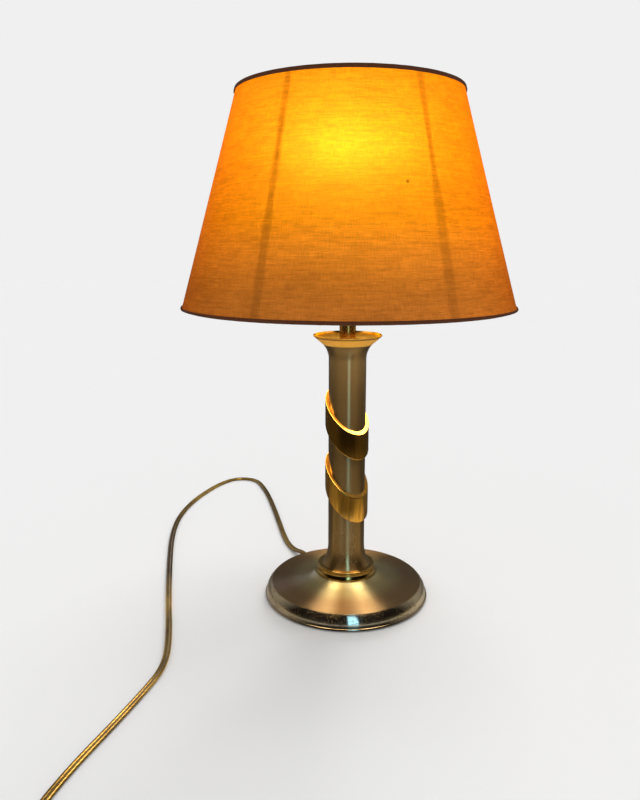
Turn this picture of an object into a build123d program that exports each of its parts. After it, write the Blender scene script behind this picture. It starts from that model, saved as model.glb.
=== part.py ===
"""Electric table lamp, in millimetres: a weighted disc base, a satin column in two slanted brass bands,
a screw bulb in a switched lamp holder, a tapered fabric shade on a wire frame, and a flat twin flex.

The origin is on the floor under the column's axis, +Z is up and the front faces -Y.
"""

import math
import os

from build123d import *

os.makedirs("parts", exist_ok=True)

# Base
foot_radius = 75.0
foot_bead = 2.2
plate_radius = 68.4
plate_edge_height = 13.8
plate_rise = 8.4
plate_flare_width = 8.0
plate_flare_rise = 3.6
plate_edge_round = 0.7
side_bulge = 1.3
shell_wall = 1.6
rim_lift = 0.5
felt_thickness = 2.0
felt_gap = 0.4
weight_thickness = 8.5
weight_gap = 4.0
boss_radius = 22.0
boss_web = 3.4

# Clamping rod through the lamp
rod_radius = 5.0
rod_bore_radius = 4.0
rod_clearance = 0.2
rod_overhang = 0.7
nut_width = 14.0
nut_height = 4.5
washer_radius = 13.0
washer_thickness = 1.2
washer_gap = 1.0

# Column, its foot collar and its cap
collar_radius = 27.3
collar_top_radius = 25.8
collar_height = 8.0
collar_seat_margin = 1.4
collar_cove = 0.7
collar_bead = 1.5
column_radius = 16.5
column_length = 203.0
column_wall = 1.5
foot_flare_radius = 21.8
foot_flare_height = 18.0
top_flare_radius = 21.4
top_flare_height = 12.5
cap_radius = 30.0
cap_cone_height = 7.4
cap_rim_height = 1.2
cap_rim_width = 1.2
cap_dish_depth = 1.2
cap_wall = 1.8

# Slanted bands: two short lengths of tube, cut alike at a slant, that sleeve the column
band_thickness = 2.8
band_gap = 0.1
band_height = 23.6
band_tilt = 44.0
band_low_side = 37.7
band_edge_round = 0.6
lower_band_rise = 74.0
band_spacing = 58.2
band_screw_angle = 90.0
band_screw_radius = 1.5
band_screw_clearance = 0.1
band_screw_reach = 3.0
band_screw_head_radius = 3.0
band_screw_head_height = 1.4

# Neck and lamp holder
neck_radius = 7.2
neck_length = 11.4
cup_foot_radius = 10.0
cup_radius = 21.5
cup_bowl_height = 13.0
cup_height = 26.0
cup_floor = 2.0
cup_cavity_radius = 16.8
cup_nut_height = 3.5
sleeve_radius = 19.8
sleeve_wall = 1.8
sleeve_length = 34.0
sleeve_flange_radius = 24.0
sleeve_flange_thickness = 2.5
insert_radius = 17.6
insert_clearance = 0.2
insert_seat_depth = 6.0
insert_floor_height = 14.0
insert_wall_height = 14.0
screw_shell_radius = 14.4
screw_shell_wall = 0.6
screw_shell_length = 22.0
screw_shell_clearance = 0.1
contact_width = 6.0
contact_thickness = 0.6
contact_rise = 1.5
terminal_spacing = 20.0
terminal_screw_radius = 1.5
terminal_screw_length = 5.0
terminal_head_radius = 2.6
terminal_head_height = 2.0
terminal_clearance = 0.1

# Turn switch on the side of the holder
switch_block_length = 9.0
switch_block_width = 12.0
switch_block_height = 10.0
switch_block_start = 5.5
switch_shaft_radius = 2.0
switch_shaft_clearance = 0.05
switch_shaft_inset = 5.0
switch_shaft_reach = 6.0
switch_key_length = 13.0
switch_key_width = 15.0
switch_key_thickness = 3.6

# Bulb
bulb_radius = 30.0
bulb_height = 79.0
bulb_glass_wall = 0.8
bulb_neck_radius = 12.5
bulb_shoulder_angle = 42.0
bulb_waist_height = 5.5
bulb_cap_radius = 13.2
bulb_cap_wall = 0.5
bulb_cap_overlap = 6.0
bulb_cap_fit = 0.2
bulb_contact_radius = 4.5
bulb_contact_gap = 0.3
bulb_contact_height = 2.2
bulb_insulator_height = 3.4
bulb_stem_radius = 3.0
bulb_stem_height = 27.0
bulb_stem_flare = 1.5
filament_wire_radius = 0.45
filament_half_span = 13.0
filament_height = 24.0

# Shade: tapered fabric on two wire rings, six ribs and a three-armed fitter
shade_bottom_radius = 141.3
shade_top_radius = 92.5
shade_height = 173.4
shade_drop = 14.3
fabric_thickness = 0.8
shade_ring_wire_radius = 1.6
shade_rib_wire_radius = 1.25
shade_rib_count = 6
shade_first_rib_angle = 0.0
shade_wire_gap = 0.1
shade_weld_gap = 0.15
trim_thickness = 0.8
trim_height = 2.6
trim_gap = 0.05
shade_arm_count = 3
shade_first_arm_angle = 60.0
shade_arm_wire_radius = 1.5
fitter_radius = 30.0
fitter_thickness = 1.2
fitter_clearance = 0.4
clamp_flange_radius = 28.0
clamp_flange_thickness = 2.2
clamp_collar_radius = 23.6
clamp_collar_height = 5.0
clamp_clearance = 0.1

# Flat twin flex, its bushing, the put-away coil and the plug
cord_width = 5.6
cord_thickness = 2.8
cord_lift = 0.1
exit_angle = 120.0
exit_height = 6.5
bushing_wall = 1.2
bushing_bore_clearance = 0.2
bushing_hole_clearance = 0.15
bushing_flange_lip = 0.8
bushing_flange_thickness = 2.0
bushing_flange_clearance = 0.2
bushing_body_length = 8.0
bushing_taper_length = 4.0
bushing_tip_wall = 0.7
cord_lead_out = 8.0
cord_channel_clearance = 1.7
cord_bend_radius = 6.0
coil_turns = 4.25
coil_inner_radius = 24.5
coil_step = 6.8
coil_layer_step = 3.5
coil_end_flare = 4.0
tie_width = 4.0
tie_thickness = 0.8
tie_clearance = 0.6
tie_angle = 45.0
tie_twist_radius = 1.2
tie_twist_length = 11.0
plug_width = 35.3
plug_thickness = 13.7
plug_face_length = 12.0
plug_shoulder_length = 22.0
plug_neck_width = 12.0
plug_neck_thickness = 9.0
plug_tail_length = 20.0
plug_tail_width = 7.6
plug_tail_thickness = 4.8
plug_corner = 2.0
pin_radius = 2.0
pin_length = 19.0
pin_spacing = 18.6
pin_root = 8.0
pin_root_radius = 1.7
pin_clearance = 0.02
pin_tip_round = 1.4

# Shares and margins used in several places
rim_round_share = 0.45
arc_room_share = 0.45
cut_margin = 1.0
heading_step = 0.0001

# Heights of the stack, from the floor up
felt_top = felt_thickness
weight_top = felt_top + weight_thickness
plate_seat = plate_edge_height + plate_rise
washer_seat = plate_seat - shell_wall - boss_web
nut_seat = washer_seat - washer_thickness
rod_bottom = nut_seat - nut_height - rod_overhang
collar_top = plate_seat + collar_height
column_top = collar_top + column_length
cap_rim_top = column_top + cap_cone_height + cap_rim_height
dish_floor = cap_rim_top - cap_dish_depth
cup_bottom = dish_floor + neck_length
cup_top = cup_bottom + cup_height
rod_top = cup_bottom + cup_floor + cup_nut_height + rod_overhang
insert_seat = cup_top - insert_seat_depth
socket_floor = insert_seat + insert_floor_height
sleeve_top = cup_top + sleeve_length
fitter_seat = cup_top + sleeve_flange_thickness
clamp_seat = fitter_seat + fitter_thickness
rod_hole = rod_radius + rod_clearance


# Base shell: a spun dish with a rolled foot bead, a bulged side and a plate that flares up to the collar
bead_radius = foot_bead / 2
bead_line = foot_radius - bead_radius
rim_inner_radius = foot_radius - foot_bead - shell_wall / 4
side_inner_radius = min(plate_radius - shell_wall, rim_inner_radius)
seat_radius = collar_radius + collar_seat_margin
flare_start = Vector(seat_radius + plate_flare_width, plate_seat - plate_flare_rise)
plate_edge = Vector(plate_radius, plate_edge_height)
exit_direction = Vector(math.cos(math.radians(exit_angle)), math.sin(math.radians(exit_angle)), 0)
exit_side = exit_direction.cross(Vector(0, 0, 1))


def exit_plane(radius):
    """The upright plane that the flex crosses at this distance from the lamp's axis."""
    place = exit_direction * radius + Vector(0, 0, exit_height)
    return Plane(origin=place, x_dir=exit_side, z_dir=exit_direction)


bushing_width = cord_width + 2 * bushing_wall
bushing_height = cord_thickness + 2 * bushing_wall
bushing_shoulder = side_inner_radius - bushing_flange_clearance
bushing_start = bushing_shoulder - bushing_flange_thickness
bushing_bend = bushing_shoulder + bushing_body_length
bushing_end = bushing_bend + bushing_taper_length

with BuildPart() as base_shell:
    with BuildSketch(Plane.XZ):
        with BuildLine():
            Line((rod_hole, plate_seat), (seat_radius, plate_seat))
            TangentArc(flare_start, (seat_radius, plate_seat), tangent=flare_start - plate_edge)
            Line(flare_start, plate_edge)
            bead_top = (bead_line, rim_lift + foot_bead)
            bead_end = (bead_line, rim_lift)
            SagittaArc(plate_edge, bead_top, side_bulge)
            ThreePointArc(bead_top, (foot_radius, rim_lift + bead_radius), bead_end)
            Polyline(
                bead_end,
                (rim_inner_radius, rim_lift),
                (rim_inner_radius, rim_lift + foot_bead),
                (plate_radius - shell_wall, plate_edge_height - shell_wall),
                (flare_start.X, flare_start.Y - shell_wall),
                (seat_radius, plate_seat - shell_wall),
                (rod_hole, plate_seat - shell_wall),
                (rod_hole, plate_seat),
            )
        make_face()
    revolve(axis=Axis.Z)
    rim_edges = base_shell.edges().filter_by(GeomType.CIRCLE)
    plate_rim = [
        edge
        for edge in rim_edges
        if abs(edge.radius - plate_radius) < plate_edge_round
        and abs(edge.arc_center.Z - plate_edge_height) < plate_edge_round
    ]
    fillet(plate_rim, plate_edge_round)
    with BuildSketch(exit_plane(bushing_start)):
        SlotOverall(
            bushing_width + 2 * bushing_hole_clearance,
            bushing_height + 2 * bushing_hole_clearance,
        )
    extrude(amount=max(foot_radius, plate_radius) - bushing_start + cut_margin, mode=Mode.SUBTRACT)
base_shell.part.label = "base_shell"
export_step(base_shell.part, "parts/base_shell.step")

# Base felt: the soft pad that the lamp stands on
with BuildPart() as base_felt:
    with BuildSketch(Plane.XY):
        Circle(rim_inner_radius - felt_gap)
    extrude(amount=felt_thickness)
base_felt.part.label = "base_felt"
export_step(base_felt.part, "parts/base_felt.step")

# Base weight: a cast disc with a boss under the plate, a well for the nut and a channel for the flex
weight_radius = side_inner_radius - weight_gap
well_radius = washer_radius + washer_gap
channel_width = cord_width + 2 * cord_channel_clearance
with BuildPart() as base_weight:
    with BuildSketch(Plane.XZ):
        with BuildLine():
            Polyline(
                (well_radius, felt_top),
                (weight_radius, felt_top),
                (weight_radius, weight_top),
                (boss_radius, weight_top),
                (boss_radius, plate_seat - shell_wall),
                (rod_hole, plate_seat - shell_wall),
                (rod_hole, washer_seat),
                (well_radius, washer_seat),
                close=True,
            )
        make_face()
    revolve(axis=Axis.Z)
    channel_height = exit_height + cord_thickness / 2 + cord_channel_clearance - felt_top
    with BuildSketch(Plane(origin=(0, 0, felt_top), x_dir=exit_direction, z_dir=(0, 0, 1))):
        with Locations((weight_radius / 2, 0)):
            Rectangle(weight_radius + 2 * cut_margin, channel_width)
    extrude(amount=channel_height, mode=Mode.SUBTRACT)
base_weight.part.label = "base_weight"
export_step(base_weight.part, "parts/base_weight.step")

# Base washer and base nut: they pull the whole stack together from below
with BuildPart() as base_washer:
    with BuildSketch(Plane.XY.offset(nut_seat)):
        Circle(washer_radius)
        Circle(rod_hole, mode=Mode.SUBTRACT)
    extrude(amount=washer_thickness)
base_washer.part.label = "base_washer"
export_step(base_washer.part, "parts/base_washer.step")

with BuildPart() as base_nut:
    with BuildSketch(Plane.XY.offset(nut_seat)):
        RegularPolygon(nut_width / 2, 6, major_radius=False)
        Circle(rod_hole, mode=Mode.SUBTRACT)
    extrude(amount=-nut_height)
base_nut.part.label = "base_nut"
export_step(base_nut.part, "parts/base_nut.step")

# Threaded rod: the hollow tube that the flex climbs through
with BuildPart() as threaded_rod:
    with BuildSketch(Plane.XY.offset(rod_bottom)):
        Circle(rod_radius)
        Circle(rod_bore_radius, mode=Mode.SUBTRACT)
    extrude(amount=rod_top - rod_bottom)
threaded_rod.part.label = "threaded_rod"
export_step(threaded_rod.part, "parts/threaded_rod.step")

# Foot collar: a coved ring between two beads
with BuildPart() as foot_collar:
    with BuildSketch(Plane.XZ):
        with BuildLine():
            low_bead = (collar_radius, plate_seat + collar_bead)
            high_bead = (collar_top_radius, collar_top - collar_bead)
            Line((rod_hole, plate_seat), (collar_radius, plate_seat))
            Line((collar_radius, plate_seat), low_bead)
            SagittaArc(low_bead, high_bead, collar_cove)
            Line(high_bead, (collar_top_radius, collar_top))
            Polyline(
                (collar_top_radius, collar_top),
                (rod_hole, collar_top),
                (rod_hole, plate_seat),
            )
        make_face()
    revolve(axis=Axis.Z)
    outer_rims = [
        edge
        for edge in foot_collar.edges().filter_by(GeomType.CIRCLE)
        if edge.radius > foot_flare_radius
        and abs(edge.arc_center.Z - (plate_seat + collar_top) / 2) > collar_height / 2 - collar_bead / 2
    ]
    fillet(outer_rims, collar_bead * rim_round_share)
foot_collar.part.label = "foot_collar"
export_step(foot_collar.part, "parts/foot_collar.step")

# Column: a spun tube with a trumpet flare at each end
flare_low = collar_top + foot_flare_height
flare_high = column_top - top_flare_height
column_bore = column_radius - column_wall
band_inner_radius = column_radius + band_gap
band_outer_radius = band_inner_radius + band_thickness
band_middles = {
    "lower_band": collar_top + lower_band_rise,
    "upper_band": collar_top + lower_band_rise + band_spacing,
}
tilt = math.radians(band_tilt)
low_side = math.radians(band_low_side)
low_direction = Vector(math.sin(low_side), -math.cos(low_side), 0)
band_normal = low_direction * math.sin(tilt) + Vector(0, 0, math.cos(tilt))


def band_screw_plane(middle):
    """Where a screw enters a band, half way up its slanted wall, facing outwards."""
    angle = math.radians(band_screw_angle)
    outward = Vector(math.cos(angle), math.sin(angle), 0)
    height = middle - band_outer_radius * outward.dot(low_direction) * math.tan(tilt)
    return Plane(origin=outward * band_outer_radius + Vector(0, 0, height), x_dir=(0, 0, 1), z_dir=outward)


band_screw_planes = [band_screw_plane(middle) for middle in band_middles.values()]
screw_hole_radius = band_screw_radius + band_screw_clearance
screw_depth = band_thickness + band_gap + column_wall + band_screw_reach

with BuildPart() as column:
    with BuildSketch(Plane.XZ):
        with BuildLine():
            TangentArc((column_radius, flare_low), (foot_flare_radius, collar_top), tangent=(0, -1))
            Line((column_radius, flare_low), (column_radius, flare_high))
            TangentArc((column_radius, flare_high), (top_flare_radius, column_top), tangent=(0, 1))
            Line((top_flare_radius, column_top), (top_flare_radius - column_wall, column_top))
            TangentArc(
                (column_bore, flare_high),
                (top_flare_radius - column_wall, column_top),
                tangent=(0, 1),
            )
            Line((column_bore, flare_high), (column_bore, flare_low))
            TangentArc(
                (column_bore, flare_low),
                (foot_flare_radius - column_wall, collar_top),
                tangent=(0, -1),
            )
            Line((foot_flare_radius - column_wall, collar_top), (foot_flare_radius, collar_top))
        make_face()
    revolve(axis=Axis.Z)
    for plane in band_screw_planes:
        with BuildSketch(plane):
            Circle(screw_hole_radius)
        extrude(amount=-screw_depth, mode=Mode.SUBTRACT)
column.part.label = "column"
export_step(column.part, "parts/column.step")

# Slanted bands: each is a tube cut off by two parallel slanted planes, its cut rims rounded
for (name, middle), screw_plane in zip(band_middles.items(), band_screw_planes):
    blank_height = band_height + 2 * band_outer_radius * math.tan(tilt) + 2 * cut_margin
    with BuildPart() as slanted_band:
        with BuildSketch(Plane.XY.offset(middle - blank_height / 2)):
            Circle(band_outer_radius)
            Circle(band_inner_radius, mode=Mode.SUBTRACT)
        extrude(amount=blank_height)
        split(bisect_by=Plane(origin=(0, 0, middle + band_height / 2), z_dir=band_normal), keep=Keep.BOTTOM)
        split(bisect_by=Plane(origin=(0, 0, middle - band_height / 2), z_dir=band_normal), keep=Keep.TOP)
        cut_rims = slanted_band.edges().filter_by(GeomType.ELLIPSE).sort_by(SortBy.LENGTH)[-2:]
        fillet(cut_rims, band_edge_round)
        with BuildSketch(screw_plane.offset(band_screw_head_height)):
            Circle(screw_hole_radius)
        extrude(amount=-screw_depth, mode=Mode.SUBTRACT)
    slanted_band.part.label = name
    export_step(slanted_band.part, f"parts/{name}.step")

# Band screws: one through each band, on the back of the column
with BuildPart() as band_screws:
    for plane in band_screw_planes:
        with BuildSketch(plane):
            Circle(band_screw_radius)
        extrude(amount=-screw_depth)
        with BuildSketch(plane.offset(band_screw_clearance)):
            Circle(band_screw_head_radius)
        extrude(amount=band_screw_head_height)
        with BuildSketch(plane):
            Circle(band_screw_radius)
        extrude(amount=band_screw_head_height)
band_screws.part.label = "band_screws"
export_step(band_screws.part, "parts/band_screws.step")

# Column cap: a shallow polished dish on the column's top flare
cap_rim_bottom = column_top + cap_cone_height
with BuildPart() as column_cap:
    with BuildSketch(Plane.XZ):
        with BuildLine():
            Polyline(
                (rod_hole, dish_floor),
                (cap_radius - cap_rim_width - cap_dish_depth, dish_floor),
                (cap_radius - cap_rim_width, cap_rim_top),
                (cap_radius, cap_rim_top),
                (cap_radius, cap_rim_bottom),
                (top_flare_radius, column_top),
                (top_flare_radius - column_wall, column_top),
                (top_flare_radius - column_wall, dish_floor - cap_wall),
                (rod_hole, dish_floor - cap_wall),
                close=True,
            )
        make_face()
    revolve(axis=Axis.Z)
    cap_rims = [
        edge
        for edge in column_cap.edges().filter_by(GeomType.CIRCLE)
        if abs(edge.radius - cap_radius) < cap_rim_width / 4
    ]
    fillet(cap_rims, cap_rim_width * rim_round_share)
column_cap.part.label = "column_cap"
export_step(column_cap.part, "parts/column_cap.step")

# Neck tube: the spacer that shows between the cap and the shade
with BuildPart() as neck_tube:
    with BuildSketch(Plane.XY.offset(dish_floor)):
        Circle(neck_radius)
        Circle(rod_hole, mode=Mode.SUBTRACT)
    extrude(amount=neck_length)
neck_tube.part.label = "neck_tube"
export_step(neck_tube.part, "parts/neck_tube.step")

# Holder cup: the rounded lower half of the lamp holder, with a ledge for the ceramic insert
switch_axis_height = insert_seat - switch_block_height / 2
bowl_top = cup_bottom + cup_bowl_height
with BuildPart() as holder_cup:
    with BuildSketch(Plane.XZ):
        with BuildLine():
            Line((rod_hole, cup_bottom), (cup_foot_radius, cup_bottom))
            TangentArc((cup_radius, bowl_top), (cup_foot_radius, cup_bottom), tangent=(0, -1))
            cavity_foot = (cup_foot_radius - cup_floor / 4, cup_bottom + cup_floor)
            cavity_side = (cup_cavity_radius, bowl_top)
            Polyline(
                (cup_radius, bowl_top),
                (cup_radius, cup_top),
                (insert_radius + insert_clearance, cup_top),
                (insert_radius + insert_clearance, insert_seat),
                (cup_cavity_radius, insert_seat),
                cavity_side,
            )
            TangentArc(cavity_side, cavity_foot, tangent=(0, -1))
            Polyline(
                cavity_foot,
                (rod_hole, cup_bottom + cup_floor),
                (rod_hole, cup_bottom),
            )
        make_face()
    revolve(axis=Axis.Z)
    with BuildSketch(Plane.YZ):
        with Locations((0, switch_axis_height)):
            Circle(switch_shaft_radius + switch_shaft_clearance)
    extrude(amount=cup_radius + cut_margin, mode=Mode.SUBTRACT)
holder_cup.part.label = "holder_cup"
export_step(holder_cup.part, "parts/holder_cup.step")

# Holder nut: locks the cup on the rod
with BuildPart() as holder_nut:
    with BuildSketch(Plane.XY.offset(cup_bottom + cup_floor)):
        RegularPolygon(nut_width / 2, 6, major_radius=False)
        Circle(rod_hole, mode=Mode.SUBTRACT)
    extrude(amount=cup_nut_height)
holder_nut.part.label = "holder_nut"
export_step(holder_nut.part, "parts/holder_nut.step")

# Holder sleeve: the threaded skirt that the shade hangs on
with BuildPart() as holder_sleeve:
    with BuildSketch(Plane.XZ):
        with BuildLine():
            Polyline(
                (sleeve_radius - sleeve_wall, cup_top),
                (sleeve_flange_radius, cup_top),
                (sleeve_flange_radius, fitter_seat),
                (sleeve_radius, fitter_seat),
                (sleeve_radius, sleeve_top),
                (sleeve_radius - sleeve_wall, sleeve_top),
                close=True,
            )
        make_face()
    revolve(axis=Axis.Z)
holder_sleeve.part.label = "holder_sleeve"
export_step(holder_sleeve.part, "parts/holder_sleeve.step")

# Holder insert: the ceramic that carries the contacts
with BuildPart() as holder_insert:
    with BuildSketch(Plane.XZ):
        with BuildLine():
            Polyline(
                (0, insert_seat),
                (insert_radius, insert_seat),
                (insert_radius, socket_floor + insert_wall_height),
                (screw_shell_radius + screw_shell_clearance, socket_floor + insert_wall_height),
                (screw_shell_radius + screw_shell_clearance, socket_floor),
                (0, socket_floor),
                close=True,
            )
        make_face()
    revolve(axis=Axis.Z)
    with BuildSketch(Plane.XY.offset(insert_seat)):
        with GridLocations(0, terminal_spacing, 1, 2):
            Circle(terminal_screw_radius + terminal_clearance)
    extrude(amount=terminal_screw_length + terminal_clearance, mode=Mode.SUBTRACT)
holder_insert.part.label = "holder_insert"
export_step(holder_insert.part, "parts/holder_insert.step")

# Screw shell and centre contact: what the bulb turns into and presses on
with BuildPart() as screw_shell:
    with BuildSketch(Plane.XY.offset(socket_floor)):
        Circle(screw_shell_radius)
        Circle(screw_shell_radius - screw_shell_wall, mode=Mode.SUBTRACT)
    extrude(amount=screw_shell_length)
screw_shell.part.label = "screw_shell"
export_step(screw_shell.part, "parts/screw_shell.step")

contact_half = bulb_contact_radius
contact_top = socket_floor + contact_rise + contact_thickness
with BuildPart() as centre_contact:
    with BuildSketch(Plane.XZ):
        with BuildLine():
            Polyline(
                (-2 * contact_half, socket_floor),
                (-contact_half, socket_floor),
                (contact_half, socket_floor + contact_rise),
                (contact_half, contact_top),
                (-contact_half, socket_floor + contact_thickness),
                (-2 * contact_half, socket_floor + contact_thickness),
                close=True,
            )
        make_face()
    extrude(amount=contact_width / 2, both=True)
centre_contact.part.label = "centre_contact"
export_step(centre_contact.part, "parts/centre_contact.step")

# Terminal screws: under the insert, one for each core of the flex
with BuildPart() as terminal_screws:
    with BuildSketch(Plane.XY.offset(insert_seat)):
        with GridLocations(0, terminal_spacing, 1, 2):
            Circle(terminal_screw_radius)
    extrude(amount=terminal_screw_length)
    with BuildSketch(Plane.XY.offset(insert_seat)):
        with GridLocations(0, terminal_spacing, 1, 2):
            Circle(terminal_head_radius)
    extrude(amount=-terminal_head_height)
terminal_screws.part.label = "terminal_screws"
export_step(terminal_screws.part, "parts/terminal_screws.step")

# Switch block and switch knob: a turn switch on the holder's right side
with BuildPart() as switch_block:
    with BuildSketch(Plane.YZ.offset(switch_block_start)):
        with Locations((0, switch_axis_height)):
            Rectangle(switch_block_width, switch_block_height)
    extrude(amount=switch_block_length)
    upright = switch_block.edges().filter_by(Axis.Z)
    fillet(upright, switch_block_width / 10)
    with BuildSketch(Plane.YZ.offset(switch_block_start + switch_block_length)):
        with Locations((0, switch_axis_height)):
            Circle(switch_shaft_radius + switch_shaft_clearance)
    extrude(amount=-switch_shaft_inset - switch_shaft_clearance, mode=Mode.SUBTRACT)
switch_block.part.label = "switch_block"
export_step(switch_block.part, "parts/switch_block.step")

shaft_start = switch_block_start + switch_block_length - switch_shaft_inset
key_start = cup_radius + switch_shaft_reach
with BuildPart() as switch_knob:
    with BuildSketch(Plane.YZ.offset(shaft_start)):
        with Locations((0, switch_axis_height)):
            Circle(switch_shaft_radius)
    extrude(amount=key_start + switch_key_length / 2 - shaft_start)
    with BuildSketch(Plane.XY.offset(switch_axis_height)):
        with Locations((key_start + switch_key_length / 2, 0)):
            Ellipse(switch_key_length / 2, switch_key_width / 2)
    extrude(amount=switch_key_thickness / 2, both=True)
    key_rims = switch_knob.edges().filter_by(GeomType.ELLIPSE)
    fillet(key_rims, switch_key_thickness / 4)
switch_knob.part.label = "switch_knob"
export_step(switch_knob.part, "parts/switch_knob.step")

# Bulb glass: a round globe drawn down into the screw cap
bulb_middle = sleeve_top + bulb_height - bulb_radius
bulb_waist = sleeve_top + bulb_waist_height
glass_foot = sleeve_top - bulb_cap_overlap
shoulder = math.radians(bulb_shoulder_angle)
shoulder_heading = (-math.sin(shoulder), -math.cos(shoulder))


def globe_point(radius, angle):
    """A point of the globe's outline, at this angle below its widest ring."""
    return Vector(radius * math.cos(angle), bulb_middle - radius * math.sin(angle))


glass_inner_radius = bulb_radius - bulb_glass_wall
glass_bore = bulb_neck_radius - bulb_glass_wall
with BuildPart() as bulb_glass:
    with BuildSketch(Plane.XZ):
        with BuildLine():
            ThreePointArc(
                (0, bulb_middle + bulb_radius),
                (bulb_radius, bulb_middle),
                globe_point(bulb_radius, shoulder),
            )
            TangentArc(
                globe_point(bulb_radius, shoulder),
                (bulb_neck_radius, bulb_waist),
                tangent=shoulder_heading,
            )
            Polyline(
                (bulb_neck_radius, bulb_waist),
                (bulb_neck_radius, glass_foot),
                (glass_bore, glass_foot),
                (glass_bore, bulb_waist),
            )
            TangentArc(
                globe_point(glass_inner_radius, shoulder),
                (glass_bore, bulb_waist),
                tangent=shoulder_heading,
            )
            ThreePointArc(
                globe_point(glass_inner_radius, shoulder),
                (glass_inner_radius, bulb_middle),
                (0, bulb_middle + glass_inner_radius),
            )
            Line((0, bulb_middle + glass_inner_radius), (0, bulb_middle + bulb_radius))
        make_face()
    revolve(axis=Axis.Z)
bulb_glass.part.label = "bulb_glass"
export_step(bulb_glass.part, "parts/bulb_glass.step")

# Bulb cap, insulator and contact button: the foot that turns into the holder
contact_button = contact_top + bulb_contact_gap
insulator_foot = contact_button + bulb_contact_height / 2
insulator_top = insulator_foot + bulb_insulator_height
cap_foot = insulator_foot + bulb_insulator_height / 2
cap_bore = bulb_cap_radius - bulb_cap_wall
with BuildPart() as bulb_cap:
    with BuildSketch(Plane.XY.offset(cap_foot)):
        Circle(bulb_cap_radius)
        Circle(cap_bore, mode=Mode.SUBTRACT)
    extrude(amount=sleeve_top + bulb_cap_wall - cap_foot)
bulb_cap.part.label = "bulb_cap"
export_step(bulb_cap.part, "parts/bulb_cap.step")

insulator_radius = cap_bore - bulb_cap_fit / 2
insulator_bore = bulb_contact_radius + bulb_cap_fit / 2
with BuildPart() as bulb_insulator:
    with BuildSketch(Plane.XZ):
        with BuildLine():
            Polyline(
                (insulator_bore, insulator_foot),
                (insulator_bore + bulb_cap_wall, insulator_foot),
                (insulator_radius, cap_foot),
                (insulator_radius, insulator_top),
                (insulator_bore, insulator_top),
                close=True,
            )
        make_face()
    revolve(axis=Axis.Z)
bulb_insulator.part.label = "bulb_insulator"
export_step(bulb_insulator.part, "parts/bulb_insulator.step")

with BuildPart() as bulb_contact:
    with BuildSketch(Plane.XY.offset(contact_button)):
        Circle(bulb_contact_radius)
    extrude(amount=insulator_top - contact_button)
    fillet(bulb_contact.edges().group_by(Axis.Z)[0], bulb_contact_height / 4)
bulb_contact.part.label = "bulb_contact"
export_step(bulb_contact.part, "parts/bulb_contact.step")

# Bulb stem and filament: the glass mount in the neck and the wire hoop that it holds
stem_flare_radius = glass_bore - bulb_cap_fit
stem_top = glass_foot + bulb_stem_height
with BuildPart() as bulb_stem:
    with BuildSketch(Plane.XZ):
        with BuildLine():
            Polyline(
                (0, glass_foot),
                (stem_flare_radius, glass_foot),
                (stem_flare_radius, glass_foot + bulb_stem_flare),
                (bulb_stem_radius, glass_foot + bulb_stem_flare + stem_flare_radius - bulb_stem_radius),
                (bulb_stem_radius, stem_top),
                (0, stem_top),
                close=True,
            )
        make_face()
    revolve(axis=Axis.Z)
bulb_stem.part.label = "bulb_stem"
export_step(bulb_stem.part, "parts/bulb_stem.step")

lead_start = bulb_stem_radius - 2 * filament_wire_radius
with BuildPart() as bulb_filament:
    with BuildLine() as filament_path:
        FilletPolyline(
            (-lead_start, 0, stem_top),
            (-lead_start, 0, stem_top + filament_height / 8),
            (-filament_half_span, 0, stem_top + filament_height),
            (0, filament_half_span, stem_top + filament_height),
            (filament_half_span, 0, stem_top + filament_height),
            (lead_start, 0, stem_top + filament_height / 8),
            (lead_start, 0, stem_top),
            radius=2 * filament_wire_radius,
        )
    filament_foot = Plane(origin=filament_path.wire() @ 0, z_dir=filament_path.wire() % 0)
    with BuildSketch(filament_foot):
        Circle(filament_wire_radius)
    sweep(path=filament_path.wire())
bulb_filament.part.label = "bulb_filament"
export_step(bulb_filament.part, "parts/bulb_filament.step")

# Shade fabric: places on the tapered wall are named by the distance up it and the distance out of it
shade_bottom = fitter_seat - shade_drop
shade_slope = math.atan2(shade_bottom_radius - shade_top_radius, shade_height)
wall_length = math.hypot(shade_bottom_radius - shade_top_radius, shade_height)


def wall_point(along, out):
    """A point (radius, height) this far up the shade's wall and this far out of its outer face."""
    radius = shade_bottom_radius - along * math.sin(shade_slope) + out * math.cos(shade_slope)
    height = shade_bottom + along * math.cos(shade_slope) + out * math.sin(shade_slope)
    return (radius, height)


with BuildPart() as shade_fabric:
    with BuildSketch(Plane.XZ):
        with BuildLine():
            Polyline(
                wall_point(0, 0),
                wall_point(wall_length, 0),
                wall_point(wall_length, -fabric_thickness),
                wall_point(0, -fabric_thickness),
                close=True,
            )
        make_face()
    revolve(axis=Axis.Z)
shade_fabric.part.label = "shade_fabric"
export_step(shade_fabric.part, "parts/shade_fabric.step")

# Shade rings: wire hoops just inside the fabric's two edges
ring_depth = fabric_thickness + shade_wire_gap + shade_ring_wire_radius
ring_along = {
    "shade_bottom_ring": shade_ring_wire_radius + shade_wire_gap,
    "shade_top_ring": wall_length - shade_ring_wire_radius - shade_wire_gap,
}
for name, along in ring_along.items():
    with BuildPart() as shade_hoop:
        with BuildSketch(Plane.XZ):
            with Locations(wall_point(along, -ring_depth)):
                Circle(shade_ring_wire_radius)
        revolve(axis=Axis.Z)
    shade_hoop.part.label = name
    export_step(shade_hoop.part, f"parts/{name}.step")

# Shade ribs: straight wires from hoop to hoop
rib_depth = fabric_thickness + shade_wire_gap + shade_rib_wire_radius
rib_low = ring_along["shade_bottom_ring"] + shade_ring_wire_radius + shade_weld_gap
rib_high = ring_along["shade_top_ring"] - shade_ring_wire_radius - shade_weld_gap


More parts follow.
